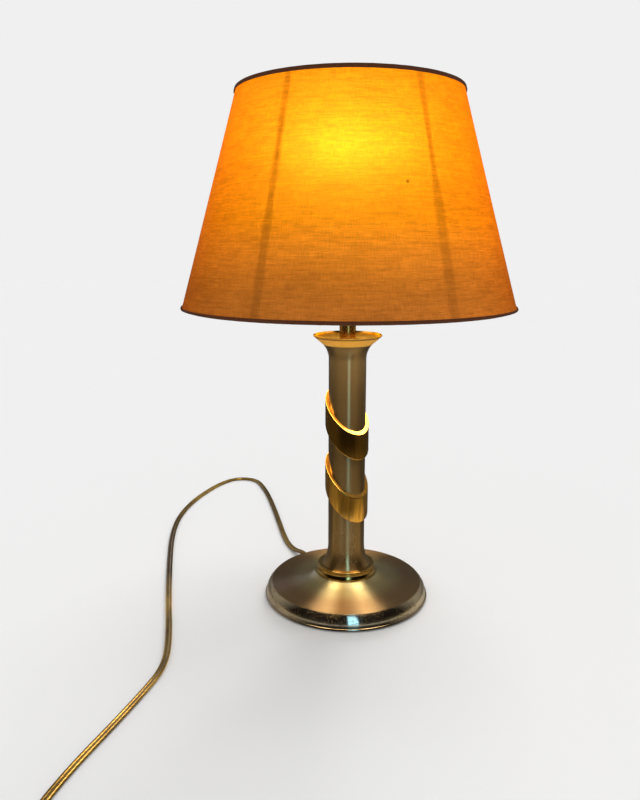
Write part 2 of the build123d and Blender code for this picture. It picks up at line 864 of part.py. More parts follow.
def around(point, angle):
    """A profile point (radius, height) turned to this angle about the lamp's axis, in degrees."""
    turn = math.radians(angle)
    return Vector(point[0] * math.cos(turn), point[0] * math.sin(turn), point[1])


for number in range(shade_rib_count):
    angle = shade_first_rib_angle + number * 360 / shade_rib_count
    foot = around(wall_point(rib_low, -rib_depth), angle)
    head = around(wall_point(rib_high, -rib_depth), angle)
    with BuildPart() as shade_rib:
        with BuildSketch(Plane(origin=foot, z_dir=head - foot)):
            Circle(shade_rib_wire_radius)
        extrude(amount=(head - foot).length)
    shade_rib.part.label = f"shade_rib_{number + 1}"
    export_step(shade_rib.part, f"parts/shade_rib_{number + 1}.step")

# Shade fitter and arms: a flat ring on the holder and the wires that carry the lower hoop
with BuildPart() as shade_fitter:
    with BuildSketch(Plane.XY.offset(fitter_seat)):
        Circle(fitter_radius)
        Circle(sleeve_radius + fitter_clearance, mode=Mode.SUBTRACT)
    extrude(amount=fitter_thickness)
shade_fitter.part.label = "shade_fitter"
export_step(shade_fitter.part, "parts/shade_fitter.step")

hoop_radius, hoop_height = wall_point(ring_along["shade_bottom_ring"], -ring_depth)
arm_ends = []
for number in range(shade_arm_count):
    angle = shade_first_arm_angle + number * 360 / shade_arm_count
    inner_end = around((fitter_radius + shade_weld_gap, fitter_seat + fitter_thickness / 2), angle)
    outer_end = around((hoop_radius - shade_ring_wire_radius - shade_weld_gap, hoop_height), angle)
    arm_ends.append((inner_end, outer_end))
    with BuildPart() as shade_arm:
        with BuildSketch(Plane(origin=inner_end, z_dir=outer_end - inner_end)):
            Circle(shade_arm_wire_radius)
        extrude(amount=(outer_end - inner_end).length)
    shade_arm.part.label = f"shade_arm_{number + 1}"
    export_step(shade_arm.part, f"parts/shade_arm_{number + 1}.step")

# Shade trims: rolled bands that wrap the fabric's edge and the hoop behind it, slit for the arms
trim_depth = ring_depth + shade_ring_wire_radius + shade_wire_gap
trim_edges = {"shade_bottom_trim": (0.0, 1.0), "shade_top_trim": (wall_length, -1.0)}
for name, (edge_along, inward) in trim_edges.items():
    with BuildPart() as shade_trim:
        lip = edge_along - inward * (trim_gap + trim_thickness)
        web = edge_along - inward * trim_gap
        end = edge_along + inward * trim_height
        with BuildSketch(Plane.XZ):
            with BuildLine():
                Polyline(
                    wall_point(lip, trim_gap + trim_thickness),
                    wall_point(end, trim_gap + trim_thickness),
                    wall_point(end, trim_gap),
                    wall_point(web, trim_gap),
                    wall_point(web, -trim_depth),
                    wall_point(end, -trim_depth),
                    wall_point(end, -trim_depth - trim_thickness),
                    wall_point(lip, -trim_depth - trim_thickness),
                    close=True,
                )
            make_face()
        revolve(axis=Axis.Z)
        if name == "shade_bottom_trim":
            for inner_end, outer_end in arm_ends:
                with BuildSketch(Plane(origin=inner_end, z_dir=outer_end - inner_end)):
                    Circle(shade_arm_wire_radius + shade_weld_gap)
                extrude(amount=(outer_end - inner_end).length, mode=Mode.SUBTRACT)
    shade_trim.part.label = name
    export_step(shade_trim.part, f"parts/{name}.step")

# Shade clamp ring: screws down the sleeve onto the fitter
clamp_bore = sleeve_radius + clamp_clearance
with BuildPart() as shade_clamp_ring:
    with BuildSketch(Plane.XZ):
        with BuildLine():
            Polyline(
                (clamp_bore, clamp_seat),
                (clamp_flange_radius, clamp_seat),
                (clamp_flange_radius, clamp_seat + clamp_flange_thickness),
                (clamp_collar_radius, clamp_seat + clamp_flange_thickness),
                (clamp_collar_radius, clamp_seat + clamp_flange_thickness + clamp_collar_height),
                (clamp_bore, clamp_seat + clamp_flange_thickness + clamp_collar_height),
                close=True,
            )
        make_face()
    revolve(axis=Axis.Z)
    clamp_rims = [
        edge
        for edge in shade_clamp_ring.edges().filter_by(GeomType.CIRCLE)
        if edge.radius > clamp_flange_radius - clamp_clearance
    ]
    fillet(clamp_rims, clamp_flange_thickness / 3)
shade_clamp_ring.part.label = "shade_clamp_ring"
export_step(shade_clamp_ring.part, "parts/shade_clamp_ring.step")

# Cord bushing: an oval sleeve through the base's side, tapered outside and flanged inside
with BuildPart() as cord_bushing:
    with BuildSketch(exit_plane(bushing_start)):
        SlotOverall(bushing_width + 2 * bushing_flange_lip, bushing_height + 2 * bushing_flange_lip)
    extrude(amount=bushing_flange_thickness)
    with BuildSketch(exit_plane(bushing_shoulder)):
        SlotOverall(bushing_width, bushing_height)
    extrude(amount=bushing_body_length)
    with BuildSketch(exit_plane(bushing_bend)):
        SlotOverall(bushing_width, bushing_height)
    with BuildSketch(exit_plane(bushing_end)):
        SlotOverall(cord_width + 2 * bushing_tip_wall, cord_thickness + 2 * bushing_tip_wall)
    loft(ruled=True)
    with BuildSketch(exit_plane(bushing_start)):
        SlotOverall(
            cord_width + 2 * bushing_bore_clearance,
            cord_thickness + 2 * bushing_bore_clearance,
        )
    extrude(amount=bushing_end - bushing_start, mode=Mode.SUBTRACT)
cord_bushing.part.label = "cord_bushing"
export_step(cord_bushing.part, "parts/cord_bushing.step")

# Inner cord: from the bushing's mouth along the weight's channel and up the rod to the holder
with BuildPart() as inner_cord:
    with BuildLine() as inner_path:
        run_end = exit_direction * cord_bend_radius + Vector(0, 0, exit_height)
        climb = Vector(0, 0, exit_height + cord_bend_radius)
        Line(exit_plane(bushing_end).origin, run_end)
        TangentArc(run_end, climb, tangent=-exit_direction)
        Line(climb, (0, 0, insert_seat))
    with BuildSketch(exit_plane(bushing_end)):
        SlotOverall(cord_width, cord_thickness)
    sweep(path=inner_path.wire())
inner_cord.part.label = "inner_cord"
export_step(inner_cord.part, "parts/inner_cord.step")

# Free cord: out of the bushing, down to the floor, back behind the lamp and forward past its left side
floor_line = cord_thickness / 2 + cord_lift
coil_low = cord_thickness / 2 + tie_thickness + 2 * cord_lift
cord_mouth = exit_plane(bushing_end).origin
cord_route = [
    cord_mouth,
    exit_plane(bushing_end + cord_lead_out).origin,
    (-50.3, 88.2, 2.6),
    (-57.8, 104.5, floor_line),
    (-63.8, 128.0, floor_line),
    (-70.0, 160.0, floor_line),
    (-79.0, 208.0, floor_line),
    (-90.5, 262.0, floor_line),
    (-101.0, 299.0, floor_line),
    (-110.0, 320.5, floor_line),
    (-120.8, 328.8, floor_line),
    (-133.9, 330.8, floor_line),
    (-146.0, 325.5, floor_line),
    (-158.0, 309.5, floor_line),
    (-170.0, 284.0, floor_line),
    (-184.5, 240.0, floor_line),
    (-192.0, 187.0, floor_line),
    (-189.0, 131.0, floor_line),
    (-178.5, 66.0, floor_line),
    (-163.0, -16.0, floor_line),
    (-147.5, -89.0, floor_line),
    (-143.5, -128.0, floor_line),
    (-152.0, -160.0, floor_line),
    (-163.5, -196.0, floor_line),
    (-178.0, -238.0, floor_line),
    (-186.5, -272.0, floor_line),
    (-187.5, -299.0, coil_low),
    (-187.5, -316.0, coil_low),
]


def corner_radii(route):
    """The largest arcs that the runs of a route leave room for, one for each corner."""
    points = [Vector(*point) for point in route]
    radii = []
    for before, corner, after in zip(points, points[1:], points[2:]):
        run = min((corner - before).length, (after - corner).length)
        turn = math.radians((corner - before).get_angle(after - corner))
        radii.append(arc_room_share * run / math.tan(turn / 2))
    return radii


def cord_section_plane(path):
    """The plane across a path's first point, with its first axis level."""
    ahead = path % 0
    return Plane(origin=path @ 0, x_dir=ahead.cross(Vector(0, 0, 1)), z_dir=ahead)


cord_radii = corner_radii(cord_route)
cord_area = (cord_width - cord_thickness) * cord_thickness + math.pi * cord_thickness**2 / 4
with BuildPart() as cord:
    with BuildLine() as cord_path:
        FilletPolyline(*cord_route, radius=cord_radii)
    with BuildSketch(cord_section_plane(cord_path.wire())):
        SlotOverall(cord_width, cord_thickness)
    sweep(path=cord_path.wire())
cord.part.label = "cord"
export_step(cord.part, "parts/cord.step")
print("cord corner radii:", [round(radius, 1) for radius in cord_radii])
print("cord length:", round(cord_path.wire().length, 1))
cord_share = cord.part.volume / cord_area / cord_path.wire().length
print("cord volume over section times length:", round(cord_share, 5))

# Cord coil: the put-away length, wound inwards on the floor and outwards again on top
coil_start = Vector(*cord_route[-1]) - Vector(0, cord_width, 0)
coil_middle = coil_turns / 2
coil_outer_radius = coil_inner_radius + coil_step * coil_middle
coil_centre = coil_start + Vector(coil_outer_radius, 0, 0)
plug_height = plug_thickness / 2


def ease(share):
    """A smooth step from 0 to 1."""
    share = min(max(share, 0.0), 1.0)
    return share * share * (3 - 2 * share)


def coil_point(turn):
    """Where the coil's middle line is after this many turns."""
    leaving = ease(2 * (turn - coil_turns) + 1)
    radius = coil_inner_radius + coil_step * abs(turn - coil_middle) + coil_end_flare * leaving
    angle = math.pi + 2 * math.pi * turn
    climb = coil_layer_step * ease(2 * (turn - coil_middle) + 0.5)
    lift = (plug_height - coil_low - coil_layer_step) * leaving
    return coil_centre + Vector(radius * math.cos(angle), radius * math.sin(angle), climb + lift)


def coil_heading(turn):
    """The direction of the coil's middle line after this many turns: square on at both ends."""
    if turn == 0:
        return Vector(0, -1, 0)
    if turn == coil_turns:
        return Vector(1, 0, 0)
    return (coil_point(turn + heading_step) - coil_point(turn - heading_step)).normalized()


def biarc_middle(start, heading, end, end_heading):
    """The point where two tangent arcs meet, between two points with given headings."""
    chord = end - start
    along = chord.dot(heading + end_heading)
    spare = 2 * (1 - heading.dot(end_heading))
    reach = (math.sqrt(along**2 + spare * chord.dot(chord)) - along) / spare
    return (start + heading * reach + end - end_heading * reach) / 2


with BuildPart() as cord_coil:
    with BuildLine() as coil_path:
        Line(coil_start - coil_heading(0) * cord_width, coil_start)
        for quarter in range(round(4 * coil_turns)):
            here = coil_point(quarter / 4)
            there = coil_point((quarter + 1) / 4)
            heading = coil_heading(quarter / 4)
            meeting = biarc_middle(here, heading, there, coil_heading((quarter + 1) / 4))
            first_arc = TangentArc(here, meeting, tangent=heading)
            TangentArc(meeting, there, tangent=first_arc % 1)
        coil_end = coil_point(coil_turns)
        Line(coil_end, coil_end + coil_heading(coil_turns) * cord_width)
    with BuildSketch(cord_section_plane(coil_path.wire())):
        SlotOverall(cord_width, cord_thickness)
    sweep(path=coil_path.wire())
cord_coil.part.label = "cord_coil"
export_step(cord_coil.part, "parts/cord_coil.step")


def coil_least_gap(steps_per_turn=40):
    """The least clear distance between two turns, on points along the flex's two cores and its middle."""
    core_offset = (cord_width - cord_thickness) / 2
    samples = []
    for step in range(round(steps_per_turn * coil_turns) + 1):
        turn = step / steps_per_turn
        side = coil_heading(turn).cross(Vector(0, 0, 1)).normalized()
        for offset in (-core_offset, 0, core_offset):
            samples.append((turn, tuple(coil_point(turn) + side * offset)))
    distances = [
        math.dist(one[1], other[1])
        for one in samples
        for other in samples
        if other[0] - one[0] > 0.5
    ]
    return min(distances) - cord_thickness


print("coil length:", round(coil_path.wire().length, 1))
coil_share = cord_coil.part.volume / cord_area / coil_path.wire().length
print("coil volume over section times length:", round(coil_share, 5))
print("coil least gap to itself:", round(coil_least_gap(), 2))

# Cord tie: a twisted wire band round the coil's turns
tie_turn = math.radians(tie_angle)
tie_outward = Vector(math.cos(tie_turn), math.sin(tie_turn), 0)
tie_along = tie_outward.cross(Vector(0, 0, 1))
tie_inner_reach = coil_outer_radius - coil_inner_radius + cord_width
tie_inner_height = coil_layer_step + cord_thickness + tie_clearance
tie_floor = coil_low - cord_thickness / 2 - cord_lift
tie_middle = Vector(coil_centre.X, coil_centre.Y, tie_floor + tie_inner_height / 2)
tie_centre = tie_middle + tie_outward * (coil_inner_radius + coil_outer_radius) / 2
with BuildPart() as cord_tie:
    with BuildSketch(Plane(origin=tie_centre, x_dir=tie_outward, z_dir=tie_along)):
        RectangleRounded(
            tie_inner_reach + 2 * tie_thickness,
            tie_inner_height + 2 * tie_thickness,
            2 * tie_thickness,
        )
        RectangleRounded(tie_inner_reach, tie_inner_height, tie_thickness, mode=Mode.SUBTRACT)
    extrude(amount=tie_width / 2, both=True)
    twist_foot = tie_centre + Vector(0, 0, tie_inner_height / 2 + tie_thickness / 2 + tie_twist_radius)
    with BuildSketch(Plane(origin=twist_foot - tie_outward * tie_twist_length / 4, z_dir=tie_outward)):
        Circle(tie_twist_radius)
    extrude(amount=tie_twist_length)
cord_tie.part.label = "cord_tie"
export_step(cord_tie.part, "parts/cord_tie.step")

# Plug: a flat two-pin body with a tapered tail, lying beside the coil
plug_start = coil_point(coil_turns) + Vector(cord_width, 0, 0)
plug_face = plug_tail_length + plug_shoulder_length + plug_face_length


def plug_plane(along):
    """The upright plane across the plug, this far along it from the cord."""
    return Plane(origin=plug_start + Vector(along, 0, 0), x_dir=(0, 1, 0), z_dir=(1, 0, 0))


with BuildPart() as plug_body:
    with BuildSketch(plug_plane(0)):
        RectangleRounded(plug_tail_width, plug_tail_thickness, plug_corner)
    with BuildSketch(plug_plane(plug_tail_length)):
        RectangleRounded(plug_neck_width, plug_neck_thickness, plug_corner)
    with BuildSketch(plug_plane(plug_tail_length + plug_shoulder_length)):
        RectangleRounded(plug_width, plug_thickness, plug_corner)
    with BuildSketch(plug_plane(plug_face)):
        RectangleRounded(plug_width, plug_thickness, plug_corner)
    loft(ruled=True)
    with BuildSketch(plug_plane(plug_face)):
        with GridLocations(pin_spacing, 0, 2, 1):
            Circle(pin_root_radius + pin_clearance)
    extrude(amount=-pin_root - pin_clearance, mode=Mode.SUBTRACT)
plug_body.part.label = "plug_body"
export_step(plug_body.part, "parts/plug_body.step")

with BuildPart() as plug_pins:
    with BuildSketch(plug_plane(plug_face)):
        with GridLocations(pin_spacing, 0, 2, 1):
            Circle(pin_radius)
    extrude(amount=pin_length)
    fillet(plug_pins.edges().group_by(Axis.X)[-1], pin_tip_round)
    with BuildSketch(plug_plane(plug_face)):
        with GridLocations(pin_spacing, 0, 2, 1):
            Circle(pin_root_radius)
    extrude(amount=-pin_root)
plug_pins.part.label = "plug_pins"
export_step(plug_pins.part, "parts/plug_pins.step")
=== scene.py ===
"""Looks of the table lamp: its finishes, cloth shade and flat flex, with the studio and the camera.

Pieces are written in millimetres and brought to metres by MM. Finishes, camera and studio are in metres.
The lamp stands on z = 0, its axis is Z and its front faces -Y.
"""

from math import atan2, copysign, cos, hypot, pi, radians, sin, sqrt

import bmesh
import bpy
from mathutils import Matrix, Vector, noise


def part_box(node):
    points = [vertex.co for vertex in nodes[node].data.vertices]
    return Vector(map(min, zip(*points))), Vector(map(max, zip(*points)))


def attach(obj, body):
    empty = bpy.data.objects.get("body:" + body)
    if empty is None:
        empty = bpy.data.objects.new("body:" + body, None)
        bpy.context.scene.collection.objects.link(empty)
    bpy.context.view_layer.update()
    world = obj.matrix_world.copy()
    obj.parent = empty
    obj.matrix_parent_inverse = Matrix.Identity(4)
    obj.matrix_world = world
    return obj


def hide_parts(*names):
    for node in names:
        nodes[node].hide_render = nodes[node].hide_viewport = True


MM = 0.001
TURN = 2 * pi
UP = Vector((0, 0, 1))
TINY = 1e-6
CORNER_SHARE = 0.45

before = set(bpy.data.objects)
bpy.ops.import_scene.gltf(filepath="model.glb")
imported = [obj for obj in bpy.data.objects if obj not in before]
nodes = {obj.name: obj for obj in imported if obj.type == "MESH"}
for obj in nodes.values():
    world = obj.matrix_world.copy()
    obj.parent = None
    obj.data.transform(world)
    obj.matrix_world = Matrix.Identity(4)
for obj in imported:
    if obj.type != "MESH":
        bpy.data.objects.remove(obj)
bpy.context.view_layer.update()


# Mesh helpers


def new_object(name, data):
    """A new object in the scene."""
    made = bpy.data.objects.new(name, data)
    bpy.context.scene.collection.objects.link(made)
    return made


def mesh_object(name, points, faces, material):
    """A mesh with one material, from points in metres."""
    mesh = bpy.data.meshes.new(name)
    mesh.from_pydata([tuple(point) for point in points], [], faces)
    mesh.materials.append(material)
    return new_object(name, mesh)


def new_piece(name, points, faces, body, material, replaced=(), uvs=None, closed=True):
    """A smooth piece that rides on a body and stands for CAD nodes."""
    piece = mesh_object(name, points, faces, material)
    mesh = piece.data
    if uvs is not None:
        layer = mesh.uv_layers.new(name="lay")
        for loop in mesh.loops:
            layer.data[loop.index].uv = uvs[loop.index]
    build = bmesh.new()
    build.from_mesh(mesh)
    bmesh.ops.remove_doubles(build, verts=build.verts, dist=TINY)
    if closed:
        bmesh.ops.recalc_face_normals(build, faces=build.faces)
    build.to_mesh(mesh)
    build.free()
    for polygon in mesh.polygons:
        polygon.use_smooth = True
    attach(piece, body)
    if replaced:
        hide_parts(*replaced)
    return piece


def grid_faces(rows, columns, wrap_rows=False, wrap_columns=False):
    """Quads between rows of points, each row with the same number of columns."""
    faces = []
    for row in range(rows if wrap_rows else rows - 1):
        here = row * columns
        there = (row + 1) % rows * columns
        for column in range(columns if wrap_columns else columns - 1):
            beside = (column + 1) % columns
            faces.append((here + column, here + beside, there + beside, there + column))
    return faces


def box_corners(low, high):
    """The four corners of a flat box, round from its low corner."""
    return [low, (high[0], low[1]), high, (low[0], high[1])]


def round_point(radius, angle, height):
    """A point this far from the Z axis."""
    return Vector((radius * cos(angle), radius * sin(angle), height))


def turned_piece(name, profile, segments, body, material, node, shape=None):
    """A closed profile of (radius, height) in mm, turned about Z and moved by shape, for one CAD node."""
    points = []
    for segment in range(segments):
        angle = TURN * segment / segments
        for radius, height in profile:
            if shape is not None:
                radius, height = shape(radius, height, angle)
            points.append(round_point(radius, angle, height) * MM)
    faces = grid_faces(segments, len(profile), wrap_rows=True, wrap_columns=True)
    return new_piece(name, points, faces, body, material, (node,))


def skinned(rings, joined=False):
    """Points and faces of a skin over closed rings of points, its two ends joined or capped."""
    columns = len(rings[0])
    points = [point for ring in rings for point in ring]
    faces = grid_faces(len(rings), columns, wrap_rows=joined, wrap_columns=True)
    if not joined:
        faces.append(tuple(reversed(range(columns))))
        faces.append(tuple(range(len(points) - columns, len(points))))
    return points, faces


def rounded_loop(corners, radius, steps=4):
    """A closed outline of (x, y) corners with each corner rounded, within a share of its two sides."""
    outline = []
    count = len(corners)
    for index, corner in enumerate(corners):
        here = Vector(corner)
        before = Vector(corners[index - 1]) - here
        after = Vector(corners[(index + 1) % count]) - here
        reach = min(radius, before.length * CORNER_SHARE, after.length * CORNER_SHARE)
        start = here + before.normalized() * reach
        end = here + after.normalized() * reach
        for step in range(steps + 1):
            share = step / steps
            outline.append(tuple(start * (1 - share) ** 2 + here * 2 * share * (1 - share) + end * share**2))
    return outline


def ease(share):
    """A smooth step from 0 to 1."""
    share = min(max(share, 0.0), 1.0)
    return share * share * (3 - 2 * share)


# Material helpers


def grey(level):
    return (level, level, level)


class Finish:
    """One node material, or the world. Nodes take their inputs as values or as other nodes' sockets."""

    def __init__(self, name, kind="Material"):
        self.owner = (bpy.data.worlds if kind == "World" else bpy.data.materials).new(name)
        self.owner.use_nodes = True
        self.tree = self.owner.node_tree
        self.tree.nodes.clear()
        self.output = self.node("Output" + kind)

    def feed(self, socket, value):
        if isinstance(value, bpy.types.NodeSocket):
            self.tree.links.new(value, socket)
        elif socket.type == "RGBA":
            socket.default_value = (*value, 1.0)
        else:
            socket.default_value = value

    def node(self, kind, inputs=None, **settings):
        node = self.tree.nodes.new("ShaderNode" + kind)
        for name, value in settings.items():
            setattr(node, name, value)
        for name, value in (inputs or {}).items():
            self.feed(node.inputs[name], value)
        return node

    def math(self, operation, first, second=0.0):
        return self.node("Math", {0: first, 1: second}, operation=operation).outputs[0]

    def times(self, first, second):
        return self.math("MULTIPLY", first, second)

    def blend(self, first, share, second):
        """This share of one value with the rest of another."""
        return self.math("ADD", self.times(first, share), self.times(second, 1.0 - share))

    def place(self):
        return self.node("TexCoord").outputs["Object"]

    def lay(self):
        """Where a point is on a piece that was laid flat, in metres."""
        return self.node("UVMap", uv_map="lay").outputs[0]

    def split(self, vector):
        return self.node("SeparateXYZ", {0: vector}).outputs

    def join(self, x, y, z=0.0):
        return self.node("CombineXYZ", {0: x, 1: y, 2: z}).outputs[0]

    def noise(self, vector, scale=1.0, detail=3.0, roughness=0.55):
        inputs = {"Vector": vector, "Scale": scale, "Detail": detail, "Roughness": roughness}
        return self.node("TexNoise", inputs).outputs["Fac"]

    def grain(self, scale, detail, roughness=0.55):
        """Noise that is even in all directions."""
        return self.noise(self.place(), scale, detail, roughness)

    def streaks(self, vector, scales, detail):
        """Noise with its own scale along each axis."""
        stretched = self.node("Mapping", {"Vector": vector, "Scale": scales}).outputs[0]
        return self.noise(stretched, 1.0, detail)

    def range(self, value, low, high, to_low=0.0, to_high=1.0, kind="LINEAR"):
        inputs = {"Value": value, 1: low, 2: high, 3: to_low, 4: to_high}
        return self.node("MapRange", inputs, interpolation_type=kind).outputs[0]

    def fade(self, value, low, high, to_low=0.0, to_high=1.0):
        """A range that starts and ends softly."""
        return self.range(value, low, high, to_low, to_high, "SMOOTHSTEP")

    def ramp(self, value, stops):
        node = self.node("ValToRGB", {"Fac": value})
        elements = node.color_ramp.elements
        while len(elements) < len(stops):
            elements.new(0.5)
        for element, (position, colour) in zip(elements, stops):
            element.position = position
            element.color = (*colour, 1.0)
        return node.outputs["Color"]

    def grey_ramp(self, value, stops):
        return self.ramp(value, [(position, grey(level)) for position, level in stops])

    def mix(self, share, first, second):
        node = self.node("Mix", data_type="RGBA")
        for socket, value in ((node.inputs[0], share), (node.inputs[6], first), (node.inputs[7], second)):
            self.feed(socket, value)
        return node.outputs[2]

    def tones(self, value, low, high, first, second):
        """A colour that goes from the first to the second as the value goes from low to high."""
        return self.mix(self.range(value, low, high), first, second)

    def bump(self, height, distance, strength=1.0):
        inputs = {"Height": height, "Distance": distance, "Strength": strength}
        return self.node("Bump", inputs).outputs[0]

    def surface(self, **inputs):
        """The Principled shader, with input names written with underscores."""
        shader = self.node("BsdfPrincipled")
        for name, value in inputs.items():
            self.feed(shader.inputs[name.replace("_", " ")], value)
        return self.show(shader)

    def glow(self, colour, strength):
        """A shader that only shines."""
        return self.show(self.node("Emission", {"Color": colour, "Strength": strength}))

    def show(self, shader):
        self.feed(self.output.inputs["Surface"], shader.outputs[0])
        return self.owner

    def radius_and_height(self):
        """Distance from the lamp's axis, and height."""
        x, y, z = self.split(self.place())
        squares = self.math("ADD", self.times(x, x), self.times(y, y))
        return self.math("SQRT", squares), z

    def from_front(self):
        """How far round the lamp from its front, 0 in front to 1 behind."""
        x, y, _ = self.split(self.place())
        angle = self.math("ARCTAN2", x, self.times(y, -1.0))
        return self.math("DIVIDE", self.math("ABSOLUTE", angle), pi)

    def lathe_lines(self, per_metre):
        """Fine rings as a lathe leaves them on a turned surface, from 0 to 1."""
        radius, height = self.radius_and_height()
        spread = self.join(self.times(radius, per_metre), self.times(height, per_metre))
        return self.noise(spread, detail=2.0)


# Metal finishes

BRASS = (0.70, 0.385, 0.075)
BRASS_DARK = (0.38, 0.18, 0.028)
POLISH_LINES = 4200.0
# The cap's colours are painted light: painted shade on the dish and in a line under the rim, and a painted
# reflection on the cone.
CAP_DISH_PAINTED_SHADE = (0.12, 0.068, 0.018)
CAP_DISH_PAINTED_SHADE_DARK = (0.045, 0.024, 0.006)
CAP_CONE_PAINTED_REFLECTION = (1.0, 0.5, 0.07)
CAP_CONE_PAINTED_REFLECTION_DARK = (0.95, 0.43, 0.052)
CAP_CONE_SHEEN = (1.0, 0.6, 0.18)
CAP_RIM_PAINTED_SHADE = (0.2, 0.06, 0.01)
CAP_RIM_SHADE_SHARE = 0.85
CAP_RIM_SHADE_FOOT = (0.0027, 0.0022)
CAP_RIM_SHADE_TOP = (0.0013, 0.0009)
SATIN = (0.34, 0.235, 0.115)
SATIN_DARK = (0.25, 0.165, 0.07)
SATIN_ROUGHNESS = 0.28
BRUSH_ANISOTROPY = 0.95
BRUSH_LINES = 5200.0
QUARTER_TURN = 0.25
PLATE = (0.38, 0.275, 0.165)
PLATE_DARK = (0.25, 0.168, 0.096)
# Painted reflection: the plate's paler colour near the collar, where the lit shade shows in it.
PLATE_PAINTED_GLOW = (0.5, 0.45, 0.27)
PLATE_ROUGHNESS = 0.35
PLATE_EDGE = (0.0129, 0.0137)
PAINTED_GLOW_REACH = (0.035, 0.057)
BAND_METAL = (0.50, 0.45, 0.36)
BAND_TARNISH = (0.2, 0.15, 0.085)
BAND_ROUGHNESS = 0.14
BEAD_METAL = (0.4, 0.34, 0.26)
BEAD_TARNISH = (0.2, 0.16, 0.11)
BEAD_TOP = (0.0024, 0.0031)


def polished_brass(name, colour=BRASS, tarnish=BRASS_DARK, roughness=0.1, spots=0.5):
    """Polished brass with faint lathe lines, cloudy tarnish and a few darker specks."""
    finish = Finish(name)
    cloud = finish.fade(finish.grain(55.0, 5.0), 0.48, 0.75, 0.0, spots)
    specks = finish.fade(finish.grain(900.0, 2.0), 0.68, 0.78, 0.0, spots)
    worn = finish.math("MAXIMUM", cloud, specks)
    return finish.surface(
        Base_Color=finish.mix(worn, colour, tarnish),
        Metallic=1.0,
        Roughness=finish.range(worn, 0.0, 1.0, roughness, roughness + 0.22),
        Normal=finish.bump(finish.lathe_lines(POLISH_LINES), 0.00002, 0.3),
    )


def dished_brass(name, rim_top):
    """The cap's brass: the dish painted dark as shade, a painted shade line under the rim, the cone painted
    bright as a reflection.
    """
    finish = Finish(name)
    _, height = finish.radius_and_height()
    line_foot = [rim_top - drop for drop in CAP_RIM_SHADE_FOOT]
    line_top = [rim_top - drop for drop in CAP_RIM_SHADE_TOP]
    painted_rim_shade = finish.times(
        finish.fade(height, *line_foot),
        finish.fade(height, *line_top, CAP_RIM_SHADE_SHARE, 0.0),
    )
    _, _, facing = finish.split(finish.node("NewGeometry").outputs["Normal"])
    up = finish.fade(facing, -0.2, 0.3)
    cloud = finish.fade(finish.grain(140.0, 5.0), 0.4, 0.7)
    # Painted light: the upward dish is painted dark as painted shade, a painted shade line lies under the
    # rim, and the downward cone is painted bright gold and barely metallic as a painted reflection.
    dish = finish.mix(cloud, CAP_DISH_PAINTED_SHADE, CAP_DISH_PAINTED_SHADE_DARK)
    cone = finish.mix(painted_rim_shade, finish.mix(cloud, CAP_CONE_PAINTED_REFLECTION, CAP_CONE_PAINTED_REFLECTION_DARK), CAP_RIM_PAINTED_SHADE)
    return finish.surface(
        Base_Color=finish.mix(up, cone, dish),
        Metallic=finish.range(up, 0.0, 1.0, 0.12, 1.0),
        Roughness=finish.range(up, 0.0, 1.0, 0.4, 0.16),
        Specular_Tint=CAP_CONE_SHEEN,
        Normal=finish.bump(finish.lathe_lines(POLISH_LINES), 0.00002, 0.3),
    )


def ring_brush(finish):
    """Shader inputs of a surface brushed in rings: its highlight runs across the brush lines."""
    return {
        "Anisotropic": BRUSH_ANISOTROPY,
        "Anisotropic_Rotation": QUARTER_TURN,
        "Tangent": finish.node("Tangent", direction_type="RADIAL", axis="Z").outputs[0],
    }


def satin_metal(name):
    """Ring-brushed plating on the column, slightly cloudy."""
    finish = Finish(name)
    _, height = finish.radius_and_height()
    lines = finish.noise(finish.join(0.0, finish.times(height, BRUSH_LINES)), detail=2.0)
    broad = finish.noise(finish.join(0.0, finish.times(height, BRUSH_LINES / 10)), detail=2.0)
    cloud = finish.grain(24.0, 4.0)
    shade = finish.range(finish.blend(broad, 0.2, cloud), 0.3, 0.7, 0.3, 0.7)
    return finish.surface(
        Base_Color=finish.mix(shade, SATIN, SATIN_DARK),
        Metallic=1.0,
        Roughness=finish.range(cloud, 0.3, 0.7, SATIN_ROUGHNESS - 0.01, SATIN_ROUGHNESS + 0.01),
        Normal=finish.bump(lines, 0.00001, 0.12),
        **ring_brush(finish),
    )


def base_metal(name):
    """The base: a ring-brushed plate painted paler near the collar as a painted reflection, a spotted side
    band and a darker bead.
    """
    finish = Finish(name)
    radius, height = finish.radius_and_height()
    # Painted reflection of the lit shade: the plate is painted paler near the collar.
    painted_glow = finish.fade(radius, *PAINTED_GLOW_REACH, 1.0, 0.0)
    plate = finish.fade(height, *PLATE_EDGE)
    bead = finish.fade(height, *BEAD_TOP, 1.0, 0.0)
    cloud = finish.grain(38.0, 5.0)
    patches = finish.fade(finish.grain(60.0, 3.0), 0.36, 0.56)
    specks = finish.fade(finish.grain(620.0, 4.0, 0.7), 0.5, 0.64)
    tarnish = finish.times(specks, patches)
    wear = finish.range(finish.blend(finish.lathe_lines(700.0), 0.5, cloud), 0.3, 0.7, 0.25, 0.75)
    plate_colour = finish.mix(painted_glow, finish.mix(wear, PLATE, PLATE_DARK), PLATE_PAINTED_GLOW)
    band_colour = finish.mix(tarnish, BAND_METAL, BAND_TARNISH)
    bead_colour = finish.mix(tarnish, BEAD_METAL, BEAD_TARNISH)
    side_colour = finish.mix(bead, band_colour, bead_colour)
    side_roughness = finish.range(tarnish, 0.0, 1.0, BAND_ROUGHNESS, BAND_ROUGHNESS + 0.16)
    plate_roughness = finish.times(plate, PLATE_ROUGHNESS - BAND_ROUGHNESS)
    return finish.surface(
        Base_Color=finish.mix(plate, side_colour, plate_colour),
        Metallic=1.0,
        Roughness=finish.math("ADD", side_roughness, plate_roughness),
        Normal=finish.bump(finish.lathe_lines(BRUSH_LINES), 0.00001, 0.25),
        **ring_brush(finish),
    )


